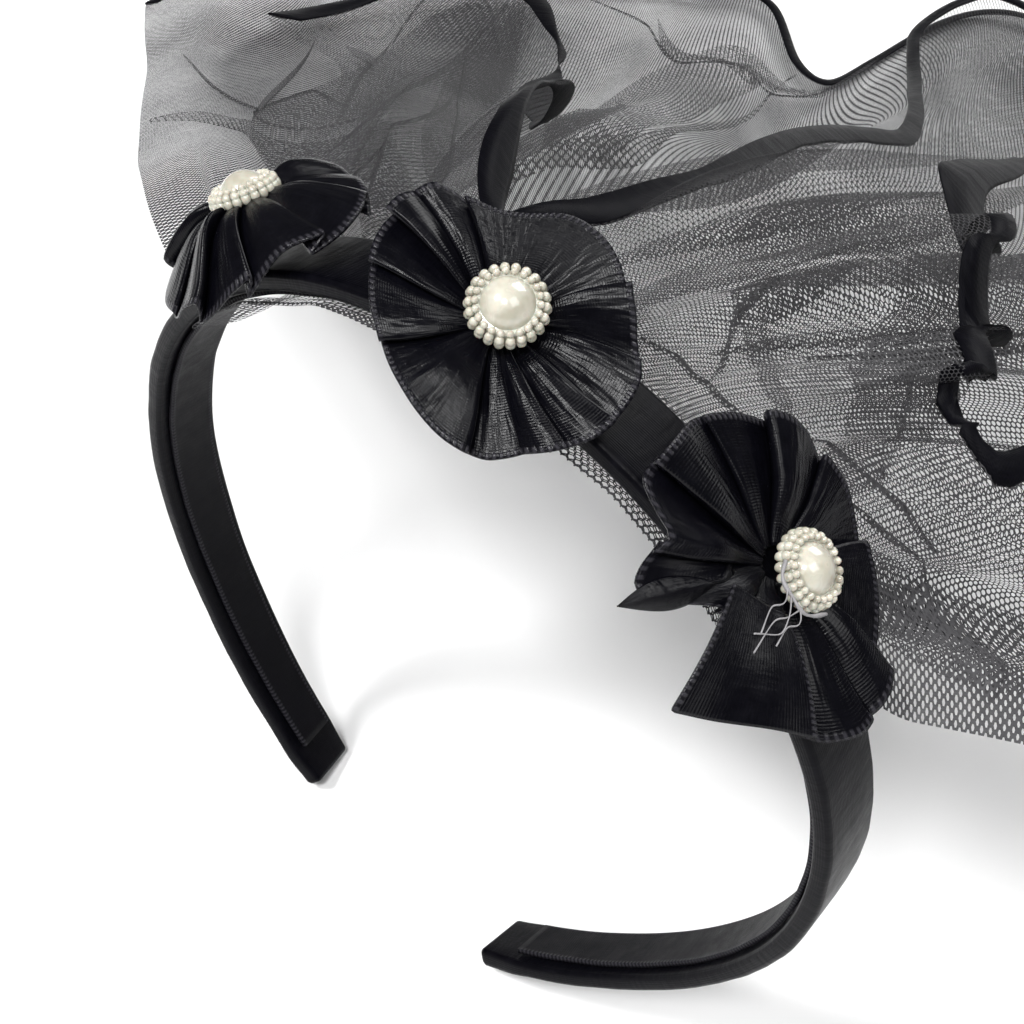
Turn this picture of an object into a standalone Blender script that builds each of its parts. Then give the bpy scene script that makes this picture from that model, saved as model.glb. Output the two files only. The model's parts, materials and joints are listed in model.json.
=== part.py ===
"""Veiled headband, standing on its two tips with the veil spread behind it.

A satin covered band carries three pleated ribbon rosettes, each with a
pearl cabochon. Two tiers of net are gathered under the crown of the band
and fall behind it to the floor, and both tiers have a ribbon bound hem.

Row frame: metres, -Y the front, +X to the right of someone who faces the
front, +Z up, origin on the floor under the middle of the whole.
"""
import math

import bmesh
import bpy
import numpy as np

MM = 0.001
GAP = 0.3
HEM_GAP = 0.9

# Band: arc as a share of the half length, bend radius as a share of the crown
# radius, set back as a share of the band width, and outward turn.
BAND_HALF_LENGTH = 190.0
BAND_CROWN_RADIUS = 61.0
BAND_WIDTH = 12.6
BAND_THICKNESS = 3.0
BAND_CROWN_HEIGHT = 139.98
BAND_CROWN_TILT_DEG = 7.27
BAND_SPANS = 62
BAND_COLUMNS = ("arc", "radius", "back", "turn_deg")
BAND_TABLE = (
    (-1.0, 1.639, 0.556, 20.0), (-0.75, 1.557, 0.476, 7.5), (-0.5, 1.361, 0.238, 1.0),
    (-0.25, 1.115, 0.04, -2.0), (0.0, 1.0, 0.0, -3.4), (0.25, 1.016, 0.19, -4.5),
    (0.5, 1.115, 0.429, -3.5), (0.75, 1.344, 0.397, 3.0), (1.0, 2.0, -0.127, 16.0),
)
TIP_NARROW = 0.90
TIP_THIN = 0.80
LINING_WIDTH = 8.4
LINING_THICKNESS = 1.0
LINING_END = 182.0

# Rosettes: place on the band, lean, clearance and outline.
ROSETTE_WALL = 1.2
ROSETTE_RADIUS = 17.0
ROSETTE_PLEAT_HEIGHT = 2.6
ROSETTE_EYE_RADIUS = 2.6
ROSETTE_PLEATS = 12
ROSETTE_COLUMNS = ("name", "arc", "front_lean_deg", "side_lean_deg", "shift_front",
                   "shift_side", "out", "front_drop", "back_rise", "puff", "phase_deg")
ROSETTE_TABLE = (
    ("left", -0.221, 0.0, 4.0, 0.0, 0.0, 0.012, 0.265, 0.265, 1.9, 8.0),
    ("middle", 0.0, 30.0, 20.0, 0.059, 0.029, 0.276, 0.0, 0.029, 1.0, 0.0),
    ("right", 0.229, 0.0, 0.0, -0.088, 0.0, 0.006, 0.176, 0.029, 1.0, 20.0),
)
RIM_COLUMNS = ("deg", "left", "middle", "right")
RIM_TABLE = (
    (0.0, 1.176, 1.082, 1.235), (15.0, 1.147, 1.071, 1.294), (30.0, 1.029, 1.018, 1.265),
    (45.0, 0.971, 0.971, 1.118), (60.0, 0.941, 1.0, 0.706), (75.0, 0.971, 0.941, 0.618),
    (90.0, 0.941, 0.859, 0.618), (105.0, 0.912, 0.806, 0.706), (120.0, 0.912, 0.8, 1.294),
    (135.0, 0.882, 0.812, 1.0), (150.0, 0.824, 0.871, 1.324), (165.0, 0.824, 0.953, 1.235),
    (180.0, 0.824, 1.024, 1.206), (195.0, 0.853, 1.059, 1.118), (210.0, 0.853, 1.047, 1.059),
    (225.0, 0.824, 0.788, 1.018), (240.0, 0.824, 0.718, 0.953), (255.0, 0.794, 0.729, 0.906),
    (270.0, 0.794, 0.882, 0.882), (285.0, 0.824, 0.941, 0.865), (300.0, 0.853, 0.959, 0.853),
    (315.0, 0.912, 0.924, 0.906), (330.0, 1.0, 0.965, 1.0), (345.0, 1.118, 1.076, 1.129),
    (360.0, 1.176, 1.082, 1.235),
)
TAIL_WALL = 1.2
TAIL_WIDTH = 18.6
TAIL_COLUMNS = ("corner", "side", "front", "height")
TAIL_TABLE = (
    ("inner_left", -0.231, 0.559, 0.236), ("inner_right", 0.167, 0.398, 0.274),
    ("cut_right", 0.892, 0.677, 0.226), ("cut_left", 0.113, 1.306, -0.065),
)

# Pearl cabochon profile: shares of the rim radius and of the height.
PEARL_RIM_BEADS = 18
PEARL_RADIUS = 5.3
PEARL_HEIGHT = 5.6
PEARL_BEAD = 0.3
PEARL_COLUMNS = ("radius", "height", "bead_swell")
PEARL_PROFILE = (
    (0.934, 0.0, 0.0), (1.0, 0.161, 1.0), (0.943, 0.339, 0.867), (0.849, 0.464, 0.667),
    (0.745, 0.589, 0.0), (0.585, 0.804, 0.0), (0.321, 0.955, 0.0),
)

# Veil: gathered span under the crown, wall and spread.
NET_WALL = 1.3
GATHER_HALF_ARC = 58.0
GATHER_FRONT = 10.8
GATHER_BACK = 11.5
FAN_HALF_DEG = 60.0
FALL_SHARE = 0.8
VEIL_REACH = 384.0
BILLOW_HEIGHT = 21.0
HEM_CLEAR = 0.9
SIDE_SWING = 32.0
SIDE_DIP = 17.0
LOWER_SPANS = 50
LOWER_ROWS = 8
UPPER_ROWS = 4
HEM_STATION_STEP = 0.05
TIER_LIFT = 5.2
HEM_RIBBON_WALL = 1.2
LOWER_RIBBON_WIDTH = 5.0
UPPER_RIBBON_WIDTH = 8.0
FOLD_HEIGHT = 4.6
FOLD_COLUMNS = ("waves", "height", "shift")
FOLD_TABLE = (
    (8.0, 1.0, 0.4), (5.0, 0.696, 2.1),
)
LOWER_HEM_COLUMNS = ("share", "reach", "rise")
LOWER_HEM_TABLE = (
    (-1.0, 0.839, 0.667), (-0.94, 0.898, 0.762), (-0.87, 0.932, 0.619), (-0.75, 0.943, 0.333),
    (-0.63, 0.958, 0.095), (-0.5, 0.969, 0.0), (-0.435, 0.953, 0.0), (-0.4, 0.859, 0.0),
    (-0.37, 0.839, 0.0), (-0.34, 0.891, 0.0), (-0.3, 0.979, 0.0), (-0.17, 1.005, 0.0),
    (0.0, 1.0, 0.0), (0.17, 1.008, 0.0), (0.34, 0.995, 0.0), (0.5, 0.974, 0.0),
    (0.63, 0.958, 0.095), (0.75, 0.943, 0.333), (0.87, 0.927, 0.619), (0.94, 0.896, 0.762),
    (1.0, 0.839, 0.667),
)
UPPER_HEM_COLUMNS = ("share", "reach", "ribbon")
UPPER_HEM_TABLE = (
    (-0.84, 0.74, 1.0), (-0.8, 0.792, 1.0), (-0.74, 0.818, 1.0), (-0.695, 0.812, 1.0),
    (-0.672, 0.771, 1.0), (-0.662, 0.682, 1.0), (-0.654, 0.586, 1.0), (-0.646, 0.495, 1.0),
    (-0.636, 0.422, 0.875), (-0.61, 0.391, 0.75), (-0.575, 0.406, 0.625),
    (-0.54, 0.443, 0.625), (-0.49, 0.49, 0.625), (-0.445, 0.531, 0.625), (-0.4, 0.604, 0.625),
    (-0.357, 0.651, 0.625), (-0.3, 0.667, 0.625), (-0.272, 0.698, 0.625),
    (-0.262, 0.781, 0.625), (-0.252, 0.872, 0.625), (-0.232, 0.911, 0.625), (-0.2, 0.88, 0.75),
    (-0.178, 0.792, 0.875), (-0.14, 0.651, 1.0), (-0.1, 0.557, 1.0), (-0.04, 0.484, 1.0),
    (0.03, 0.474, 1.0), (0.1, 0.531, 1.0), (0.17, 0.651, 0.875), (0.24, 0.781, 0.75),
    (0.33, 0.865, 0.75), (0.45, 0.891, 0.75), (0.6, 0.87, 0.75), (0.72, 0.823, 0.75),
    (0.8, 0.776, 0.75), (0.84, 0.729, 0.75),
)


def column(table, columns, name):
    """Return one named column of a table as an array."""
    return np.array([row[columns.index(name)] for row in table], dtype=float)


def smooth(x):
    """Smooth step from 0 to 1."""
    x = np.clip(x, 0.0, 1.0)
    return x * x * (3.0 - 2.0 * x)


def curve_value(x, xs, ys):
    """Cubic through table stations, for even or uneven spacing."""
    slopes = np.gradient(ys, xs)
    i = int(np.clip(np.searchsorted(xs, x) - 1, 0, len(xs) - 2))
    h = xs[i + 1] - xs[i]
    w = (x - xs[i]) / h
    a = (1 + 2 * w) * (1 - w) ** 2
    b = w * (1 - w) ** 2 * h
    c = w * w * (3 - 2 * w)
    d = w * w * (w - 1) * h
    return a * ys[i] + b * slopes[i] + c * ys[i + 1] + d * slopes[i + 1]


def unit(v):
    """Unit vector."""
    return v / np.linalg.norm(v)


class Band:
    """Centre line of the band and its local directions."""

    def __init__(self):
        """Integrate the bend radii from the crown to both tips."""
        self.stations = BAND_HALF_LENGTH * column(BAND_TABLE, BAND_COLUMNS, "arc")
        self.backs = BAND_WIDTH * column(BAND_TABLE, BAND_COLUMNS, "back")
        self.turns = column(BAND_TABLE, BAND_COLUMNS, "turn_deg")
        bends = 1.0 / (BAND_CROWN_RADIUS * column(BAND_TABLE, BAND_COLUMNS, "radius"))
        self.arc = np.linspace(-BAND_HALF_LENGTH, BAND_HALF_LENGTH, 761)
        step = self.arc[1] - self.arc[0]
        bend = np.interp(self.arc, self.stations, bends)
        angle = np.concatenate(([0.0], np.cumsum((bend[1:] + bend[:-1]) / 2 * step)))
        middle = len(self.arc) // 2
        self.angle = angle - angle[middle] + math.radians(BAND_CROWN_TILT_DEG)
        dx = np.cos(self.angle)
        dz = -np.sin(self.angle)
        x = np.concatenate(([0.0], np.cumsum((dx[1:] + dx[:-1]) / 2 * step)))
        z = np.concatenate(([0.0], np.cumsum((dz[1:] + dz[:-1]) / 2 * step)))
        self.x = x - x[middle]
        self.z = z - z[middle] + BAND_CROWN_HEIGHT

    def point(self, arc):
        """Centre line point at an arc length from the crown."""
        return np.array([np.interp(arc, self.arc, self.x),
                         curve_value(arc, self.stations, self.backs),
                         np.interp(arc, self.arc, self.z)])

    def frame(self, arc):
        """Point, along, outward and front directions at an arc length."""
        c = self.point(arc)
        low = max(arc - 0.5, -BAND_HALF_LENGTH)
        high = min(arc + 0.5, BAND_HALF_LENGTH)
        along = unit(self.point(high) - self.point(low))
        angle = np.interp(arc, self.arc, self.angle)
        out = np.array([math.sin(angle), 0.0, math.cos(angle)])
        out = unit(out - np.dot(out, along) * along)
        front = np.cross(along, out)
        turn = math.radians(curve_value(arc, self.stations, self.turns))
        turned = math.cos(turn) * out + math.sin(turn) * front
        return c, along, turned, np.cross(along, turned)


BAND = Band()


def make_object(name, verts, faces, smooth_faces=True):
    """Make a mesh object in millimetres of the given corners and faces."""
    mesh = bpy.data.meshes.new(name)
    mesh.from_pydata([tuple(float(c) * MM for c in v) for v in verts], [], faces)
    mesh.update()
    work = bmesh.new()
    work.from_mesh(mesh)
    bmesh.ops.recalc_face_normals(work, faces=work.faces)
    work.to_mesh(mesh)
    work.free()
    for polygon in mesh.polygons:
        polygon.use_smooth = smooth_faces
    thing = bpy.data.objects.new(name, mesh)
    COLLECTION.objects.link(thing)
    return thing


def give_look(thing, name, rgb, rough, metal=0.0):
    """Give an object its own Principled material."""
    look = bpy.data.materials.new(name)
    look.use_nodes = True
    shader = look.node_tree.nodes["Principled BSDF"]
    shader.inputs["Base Color"].default_value = (rgb[0], rgb[1], rgb[2], 1.0)
    shader.inputs["Roughness"].default_value = rough
    shader.inputs["Metallic"].default_value = metal
    look.diffuse_color = (rgb[0], rgb[1], rgb[2], 1.0)
    thing.data.materials.append(look)
    return thing


def sweep(name, rings):
    """Close a row of equal rings with a cap at each end."""
    verts = [p for ring in rings for p in ring]
    n = len(rings[0])
    faces = []
    for i in range(len(rings) - 1):
        for j in range(n):
            k = (j + 1) % n
            faces.append((i * n + j, i * n + k, (i + 1) * n + k, (i + 1) * n + j))
    faces.append(tuple(range(n)))
    faces.append(tuple((len(rings) - 1) * n + j for j in range(n)))
    return make_object(name, verts, faces)


def slab(name, top, bottom, ring=False):
    """Close a sheet given as two equal grids of points, top and bottom.

    Args:
        name: Object name.
        top: Rows of points of the upper face.
        bottom: Rows of points of the lower face.
        ring: True where the last column joins the first one.
    """
    rows = len(top)
    cols = len(top[0])
    size = rows * cols
    verts = [p for row in top for p in row] + [p for row in bottom for p in row]
    faces = []
    spans = cols if ring else cols - 1
    for i in range(rows - 1):
        for j in range(spans):
            k = (j + 1) % cols
            a, b, c, d = i * cols + j, i * cols + k, (i + 1) * cols + k, (i + 1) * cols + j
            faces.append((a, b, c, d))
            faces.append((size + d, size + c, size + b, size + a))
    for i in (0, rows - 1):
        for j in range(spans):
            k = (j + 1) % cols
            a, b = i * cols + j, i * cols + k
            faces.append((a, b, size + b, size + a))
    if not ring:
        for j in (0, cols - 1):
            for i in range(rows - 1):
                a, b = i * cols + j, (i + 1) * cols + j
                faces.append((a, b, size + b, size + a))
    return make_object(name, verts, faces)


# Band and lining

def band_section():
    """Half width and height pairs of the rounded band section."""
    w = BAND_WIDTH / 2
    h = BAND_THICKNESS / 2
    return ((-w, -h * 0.35), (-w + 0.8, -h), (w - 0.8, -h), (w, -h * 0.35),
            (w, h * 0.35), (w - 0.8, h), (0.0, h + 0.12), (-w + 0.8, h), (-w, h * 0.35))


def build_band():
    """Sweep the rounded section along the centre line to the two square-cut tips."""
    section = band_section()
    arcs = np.linspace(-BAND_HALF_LENGTH + 1.5, BAND_HALF_LENGTH - 1.5, BAND_SPANS - 1)
    arcs = [-BAND_HALF_LENGTH] + list(arcs) + [BAND_HALF_LENGTH]
    rings = []
    for arc in arcs:
        c, along, out, front = BAND.frame(arc)
        to_tip = BAND_HALF_LENGTH - abs(arc)
        narrow = TIP_NARROW + (1 - TIP_NARROW) * float(smooth(to_tip / 9.0))
        thin = TIP_THIN if to_tip < 0.1 else 1.0 + 0.10 * (1 - float(smooth(to_tip / 14.0)))
        rings.append([c + front * a * narrow + out * b * thin for a, b in section])
    band = sweep("headband", rings)
    return give_look(band, "black_satin", (0.012, 0.012, 0.015), 0.38)


def build_lining():
    """Flat ribbon glued along the inner face of the band."""
    rings = []
    half = LINING_WIDTH / 2
    top = -BAND_THICKNESS / 2 - GAP
    low = top - LINING_THICKNESS
    for arc in np.linspace(-LINING_END, LINING_END, BAND_SPANS - 2):
        c, along, out, front = BAND.frame(arc)
        rings.append([c + front * a + out * b
                      for a, b in ((-half, top), (half, top), (half, low), (-half, low))])
    lining = sweep("band_lining", rings)
    return give_look(lining, "black_lining_ribbon", (0.014, 0.014, 0.018), 0.5)


# Rosettes and pearls

def rosette_frame(row):
    """Centre, side, front and outward directions of a rosette."""
    value = dict(zip(ROSETTE_COLUMNS, row))
    c, along, out, front = BAND.frame(value["arc"] * BAND_HALF_LENGTH)
    normal = unit(out + math.tan(math.radians(value["front_lean_deg"])) * front
                  + math.tan(math.radians(value["side_lean_deg"])) * along)
    side = unit(along - np.dot(along, normal) * normal)
    face = np.cross(side, normal)
    centre = c + normal * (BAND_THICKNESS / 2 + value["out"] * ROSETTE_RADIUS)
    centre = centre + ROSETTE_RADIUS * (face * value["shift_front"] + side * value["shift_side"])
    return value, centre, side, face, normal


def pleat(angle, phase):
    """Sharpened wave of the radial pleats, 0 in a valley and 1 on a crest."""
    wave = math.cos(ROSETTE_PLEATS * angle + phase)
    return 0.5 + 0.5 * math.copysign(abs(wave) ** 0.8, wave)


def build_rosette(row):
    """Pleated ribbon disc with a scalloped rim."""
    value, centre, side, face, normal = rosette_frame(row)
    phase = math.radians(value["phase_deg"])
    pleat_height = ROSETTE_PLEAT_HEIGHT * value["puff"]
    degrees = column(RIM_TABLE, RIM_COLUMNS, "deg")
    rims = ROSETTE_RADIUS * column(RIM_TABLE, RIM_COLUMNS, value["name"])
    shares = (0.0, 0.22, 0.5, 0.78, 1.0)
    top = []
    bottom = []
    for share in shares:
        upper = []
        lower = []
        for step in range(ROSETTE_PLEATS * 4):
            angle = 2 * math.pi * step / (ROSETTE_PLEATS * 4)
            crest = pleat(angle, phase)
            rim = float(np.interp(math.degrees(angle), degrees, rims))
            rim = rim * (1.0 + 0.03 * (2 * crest - 1))
            radius = ROSETTE_EYE_RADIUS + (rim - ROSETTE_EYE_RADIUS) * share
            swell = pleat_height * (0.27 + 0.73 * float(smooth(share * 2.2)) - 0.15 * share)
            x = radius * math.cos(angle)
            y = radius * math.sin(angle)
            edge = BAND_WIDTH / 2 + 0.5
            slope = -value["front_drop"] * float(smooth((y - edge) / (0.53 * ROSETTE_RADIUS)))
            slope += value["back_rise"] * float(smooth((-y - 3.0) / (0.6 * ROSETTE_RADIUS)))
            slope = slope * ROSETTE_RADIUS
            height = ROSETTE_WALL / 2 + GAP + swell * crest + 0.7 * share + slope
            p = centre + side * x + face * y
            upper.append(p + normal * (height + ROSETTE_WALL / 2))
            lower.append(p + normal * (height - ROSETTE_WALL / 2))
        top.append(upper)
        bottom.append(lower)
    rosette = slab("rosette_" + value["name"], top, bottom, ring=True)
    return give_look(rosette, "black_ribbon_" + value["name"], (0.013, 0.013, 0.017), 0.32)


def build_tail():
    """Free cut end of the ribbon over the front of the right rosette."""
    value, centre, side, face, normal = rosette_frame(ROSETTE_TABLE[2])
    corners = [TAIL_WIDTH * np.array(row[1:], dtype=float) for row in TAIL_TABLE]
    top = []
    bottom = []
    for i in range(5):
        a = i / 4
        upper = []
        lower = []
        for j in range(7):
            b = j / 6
            start = corners[0] * (1 - b) + corners[1] * b
            end = corners[3] * (1 - b) + corners[2] * b
            place = start * (1 - a) + end * a
            lift = 0.9 * math.sin(math.pi * a) + 0.35 * math.cos(3 * math.pi * b) * a
            p = centre + side * place[0] + face * place[1] + normal * (place[2] + lift)
            upper.append(p + normal * TAIL_WALL / 2)
            lower.append(p - normal * TAIL_WALL / 2)
        top.append(upper)
        bottom.append(lower)
    tail = slab("ribbon_tail", top, bottom)
    return give_look(tail, "black_ribbon_tail", (0.013, 0.013, 0.017), 0.35)


def build_pearl(row):
    """Cabochon with a plain dome and a fluted, beaded side."""
    value, centre, side, face, normal = rosette_frame(row)
    seat = ROSETTE_WALL + 2 * GAP + 0.78 * ROSETTE_PLEAT_HEIGHT * value["puff"]
    count = PEARL_RIM_BEADS * 2
    rings = []
    for radius, height, swell in PEARL_PROFILE:
        ring = []
        for step in range(count):
            angle = 2 * math.pi * step / count
            r = radius * PEARL_RADIUS + PEARL_BEAD * swell * (1 if step % 2 else -1)
            ring.append(centre + side * r * math.cos(angle) + face * r * math.sin(angle)
                        + normal * (seat + height * PEARL_HEIGHT))
        rings.append(ring)
    verts = [p for ring in rings for p in ring]
    faces = []
    for i in range(len(rings) - 1):
        for j in range(count):
            k = (j + 1) % count
            faces.append((i * count + j, i * count + k, (i + 1) * count + k, (i + 1) * count + j))
    faces.append(tuple(range(count)))
    verts.append(centre + normal * (seat + PEARL_HEIGHT))
    last = (len(rings) - 1) * count
    for j in range(count):
        faces.append((last + j, last + (j + 1) % count, len(verts) - 1))
    pearl = make_object("pearl_" + value["name"], verts, faces)
    return give_look(pearl, "pearl_" + value["name"] + "_look", (0.80, 0.77, 0.68), 0.25)


# Veil

class Veil:
    """Smooth base surface of the veil over gather share and distance share."""

    def __init__(self):
        """Read the hem table once."""
        self.shares = column(LOWER_HEM_TABLE, LOWER_HEM_COLUMNS, "share")
        self.reaches = VEIL_REACH * column(LOWER_HEM_TABLE, LOWER_HEM_COLUMNS, "reach")
        self.rises = BILLOW_HEIGHT * column(LOWER_HEM_TABLE, LOWER_HEM_COLUMNS, "rise")
        self.depth = (BAND_THICKNESS / 2 + 3 * GAP + LINING_THICKNESS + NET_WALL * 1.5)

    def reach(self, share):
        """Distance of the lower hem from the origin in plan."""
        return curve_value(float(np.clip(share, -1.0, 1.0)), self.shares, self.reaches)

    def base(self, share, way):
        """Base point; way below 0 is under the band, 0 to 1 is behind it.

        Args:
            share: Place along the gathered heading, -1 left to 1 right.
            way: -1 at the front edge, 0 behind the band, 1 at the lower hem.
        """
        c, along, out, front = BAND.frame(GATHER_HALF_ARC * share)
        root = c - out * self.depth
        if way <= 0.0:
            back = GATHER_BACK - 3.6 * share ** 6
            return root - front * (back + way * (back + GATHER_FRONT))
        side = share ** 6
        start = root - front * (GATHER_BACK - 3.6 * side)
        fan = math.radians(FAN_HALF_DEG * share)
        reach = self.reach(share)
        end = np.array([reach * math.sin(fan), reach * math.cos(fan)])
        sign = math.copysign(1.0, share)
        leave = start[:2] + np.array([sign * (4.0 * abs(share) + 12.0 * side), 22.0 - 17.0 * side])
        arrive = end - 0.25 * (end - start[:2])
        arrive = arrive + np.array([SIDE_SWING * share * abs(share), -SIDE_DIP * share * share])
        w = way
        plan = ((1 - w) ** 3 * start[:2] + 3 * w * (1 - w) ** 2 * leave
                + 3 * w * w * (1 - w) * arrive + w ** 3 * end)
        w = min(way, 1.0)
        fall = 1.0 - float(smooth(w / FALL_SHARE))
        height = start[2] * fall + BILLOW_HEIGHT * math.sin(math.pi * w) ** 1.2
        rise = curve_value(float(np.clip(share, -1.0, 1.0)), self.shares, self.rises)
        height = height + max(rise, 0.0) * float(smooth(w / 0.7))
        rest = (HEM_CLEAR + NET_WALL / 2) * (1.0 - fall)
        return np.array([plan[0], plan[1], height + rest])

    def lifted(self, share, way):
        """Direction in which folds and upper layers rise off the base surface."""
        out = BAND.frame(GATHER_HALF_ARC * share)[2]
        blend = float(smooth(way / 0.32))
        return unit(out * (1.0 - blend) + np.array([0.0, 0.0, 1.0]) * blend)

    def wave(self, share, way):
        """Height of the folds over the base surface."""
        if way <= 0.0:
            return 0.0
        grow = float(smooth(way / 0.35)) * (1.0 - 0.8 * float(smooth((way - 0.6) / 0.4)))
        total = 0.0
        for waves, height, shift in FOLD_TABLE:
            total += FOLD_HEIGHT * height * math.cos(math.pi * waves * share + shift + 1.3 * math.sin(3 * share))
        return grow * (total + 0.35 * FOLD_HEIGHT * sum(row[1] for row in FOLD_TABLE))

    def point(self, share, way, lift):
        """Point of the folded surface at a lift above the lower tier's middle."""
        p = self.base(share, way)
        n = self.lifted(share, way)
        return p + n * (self.wave(share, way) + lift)


VEIL = Veil()


def lower_ways():
    """Row stations of the lower tier, from the front edge to the hem."""
    near = [-1.0, -0.6, -0.2, -0.02, 0.03, 0.08, 0.15]
    return near + [0.15 + 0.85 * i / LOWER_ROWS for i in range(1, LOWER_ROWS + 1)]


def net_grid(shares, ways_of, lift_of):
    """Top and bottom grids of a net tier."""
    top = []
    bottom = []
    count = len(ways_of(0))
    for r in range(count):
        upper = []
        lower = []
        for i, share in enumerate(shares):
            way = ways_of(i)[r]
            lift = lift_of(share, way)
            upper.append(VEIL.point(share, way, lift + NET_WALL / 2))
            lower.append(VEIL.point(share, way, lift - NET_WALL / 2))
        top.append(upper)
        bottom.append(lower)
    return top, bottom


def build_lower_tier():
    """Lower tier of net and its ribbon bound hem."""
    shares = np.linspace(-1.0, 1.0, LOWER_SPANS + 1)
    ways = lower_ways()
    trim = []
    for share in shares:
        trim.append(1.0 - (LOWER_RIBBON_WIDTH + HEM_GAP) / (VEIL.reach(share) - GATHER_BACK))
    rows = [[w if w < 0 else w * trim[i] for w in ways] for i in range(len(shares))]
    top, bottom = net_grid(shares, lambda i: rows[i], lambda share, way: 0.0)
    net = slab("veil_lower", top, bottom)
    give_look(net, "black_net_lower", (0.03, 0.03, 0.035), 0.8)
    bands = []
    for i in range(len(shares)):
        start = 1.0 - LOWER_RIBBON_WIDTH / (VEIL.reach(shares[i]) - GATHER_BACK)
        bands.append([start, 1.0])
    top, bottom = net_grid(shares, lambda i: bands[i], lambda share, way: 0.0)
    ribbon = slab("hem_ribbon_lower", top, bottom)
    give_look(ribbon, "black_hem_ribbon_lower", (0.012, 0.012, 0.015), 0.4)
    return net, ribbon


def tier_lift(way):
    """Rise of the upper tier over the lower one."""
    return NET_WALL + GAP + TIER_LIFT * float(smooth(way / 0.3))


def hem_stations():
    """Outer hem stations of the upper tier as share, way and ribbon width."""
    rows = [UPPER_HEM_TABLE[0]]
    for before, after in zip(UPPER_HEM_TABLE[:-1], UPPER_HEM_TABLE[1:]):
        parts = max(1, math.ceil((after[0] - before[0]) / HEM_STATION_STEP))
        for k in range(1, parts + 1):
            w = k / parts
            rows.append(tuple(a * (1 - w) + b * w for a, b in zip(before, after)))
    found = []
    for share, reach, ribbon in rows:
        full = VEIL.reach(share)
        start = GATHER_BACK
        way = (reach * VEIL_REACH - start) / (full - start)
        found.append((share, way, ribbon * UPPER_RIBBON_WIDTH))
    return found


def inset(stations, extra):
    """Move the hem stations inward over the surface by the ribbon width plus extra."""
    moved = []
    points = [VEIL.base(u, v) for u, v, w in stations]
    for i, (u, v, width) in enumerate(stations):
        a = points[max(i - 1, 0)]
        b = points[min(i + 1, len(points) - 1)]
        e = 0.004
        du = (VEIL.base(u + e, v) - VEIL.base(u - e, v)) / (2 * e)
        dv = (VEIL.base(u, v + e) - VEIL.base(u, v - e)) / (2 * e)
        inward = unit(np.cross(unit(b - a), unit(np.cross(du, dv))))
        grid = np.array([[np.dot(du, du), np.dot(du, dv)], [np.dot(du, dv), np.dot(dv, dv)]])
        want = inward * (width + extra)
        delta = np.linalg.solve(grid, np.array([np.dot(want, du), np.dot(want, dv)]))
        moved.append((u + delta[0], v + delta[1]))
    return moved


def build_upper_tier():
    """Upper tier of net, with a deep bay in its ribbon bound hem."""
    stations = hem_stations()
    first, last = stations[0][0], stations[-1][0]
    inner = inset(stations, 0.0)
    edge = inset(stations, HEM_GAP)
    shares = [first] + [p[0] for p in edge[1:-1]] + [last]
    for i in range(len(shares) - 2, 0, -1):
        shares[i] = min(shares[i], shares[i + 1] - 0.0035)
    rows = []
    for i in range(len(shares)):
        end = edge[i][1]
        rows.append([-0.45, -0.02, 0.03, 0.08, 0.15]
                    + [0.15 + (end - 0.15) * k / UPPER_ROWS for k in range(1, UPPER_ROWS + 1)])
    lift = lambda share, way: tier_lift(way)
    top, bottom = net_grid(shares, lambda i: rows[i], lift)
    net = slab("veil_upper", top, bottom)
    give_look(net, "black_net_upper", (0.03, 0.03, 0.035), 0.8)
    half = HEM_RIBBON_WALL / 2
    upper = [[], []]
    lower = [[], []]
    for i, (u, v, width) in enumerate(stations):
        ui = inner[i][0] if 0 < i < len(stations) - 1 else u
        for r, (a, b) in enumerate(((ui, inner[i][1]), (u, v))):
            upper[r].append(VEIL.point(a, b, tier_lift(b) + half))
            lower[r].append(VEIL.point(a, b, tier_lift(b) - half))
    ribbon = slab("hem_ribbon_upper", upper, lower)
    give_look(ribbon, "black_hem_ribbon_upper", (0.012, 0.012, 0.015), 0.4)
    return net, ribbon


# Build

for old in list(bpy.data.objects):
    bpy.data.objects.remove(old, do_unlink=True)
COLLECTION = bpy.data.collections.new("veiled_headband")
bpy.context.scene.collection.children.link(COLLECTION)

build_band()
build_lining()
for rosette_row in ROSETTE_TABLE:
    build_rosette(rosette_row)
    build_pearl(rosette_row)
build_tail()
build_lower_tier()
build_upper_tier()


def settle_origin():
    """Move the whole so that the origin is on the floor under its middle."""
    corners = np.array([v.co for thing in COLLECTION.objects for v in thing.data.vertices])
    low = corners.min(axis=0)
    high = corners.max(axis=0)
    shift = np.array([(low[0] + high[0]) / 2, (low[1] + high[1]) / 2, low[2]])
    for thing in COLLECTION.objects:
        for vertex in thing.data.vertices:
            vertex.co = [vertex.co[i] - shift[i] for i in range(3)]


settle_origin()
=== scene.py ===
"""Veiled headband: satin band, three ribbon rosettes with pearl cabochons, two net tiers.

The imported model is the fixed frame. Lengths in this file are in millimetres
with the crown of the band over the origin, and SETTLE moves them to the frame.
"""
import json
import logging
import math
from dataclasses import dataclass
from enum import Enum

import bmesh
import bpy
import numpy as np
from mathutils import Matrix, Vector

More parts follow.
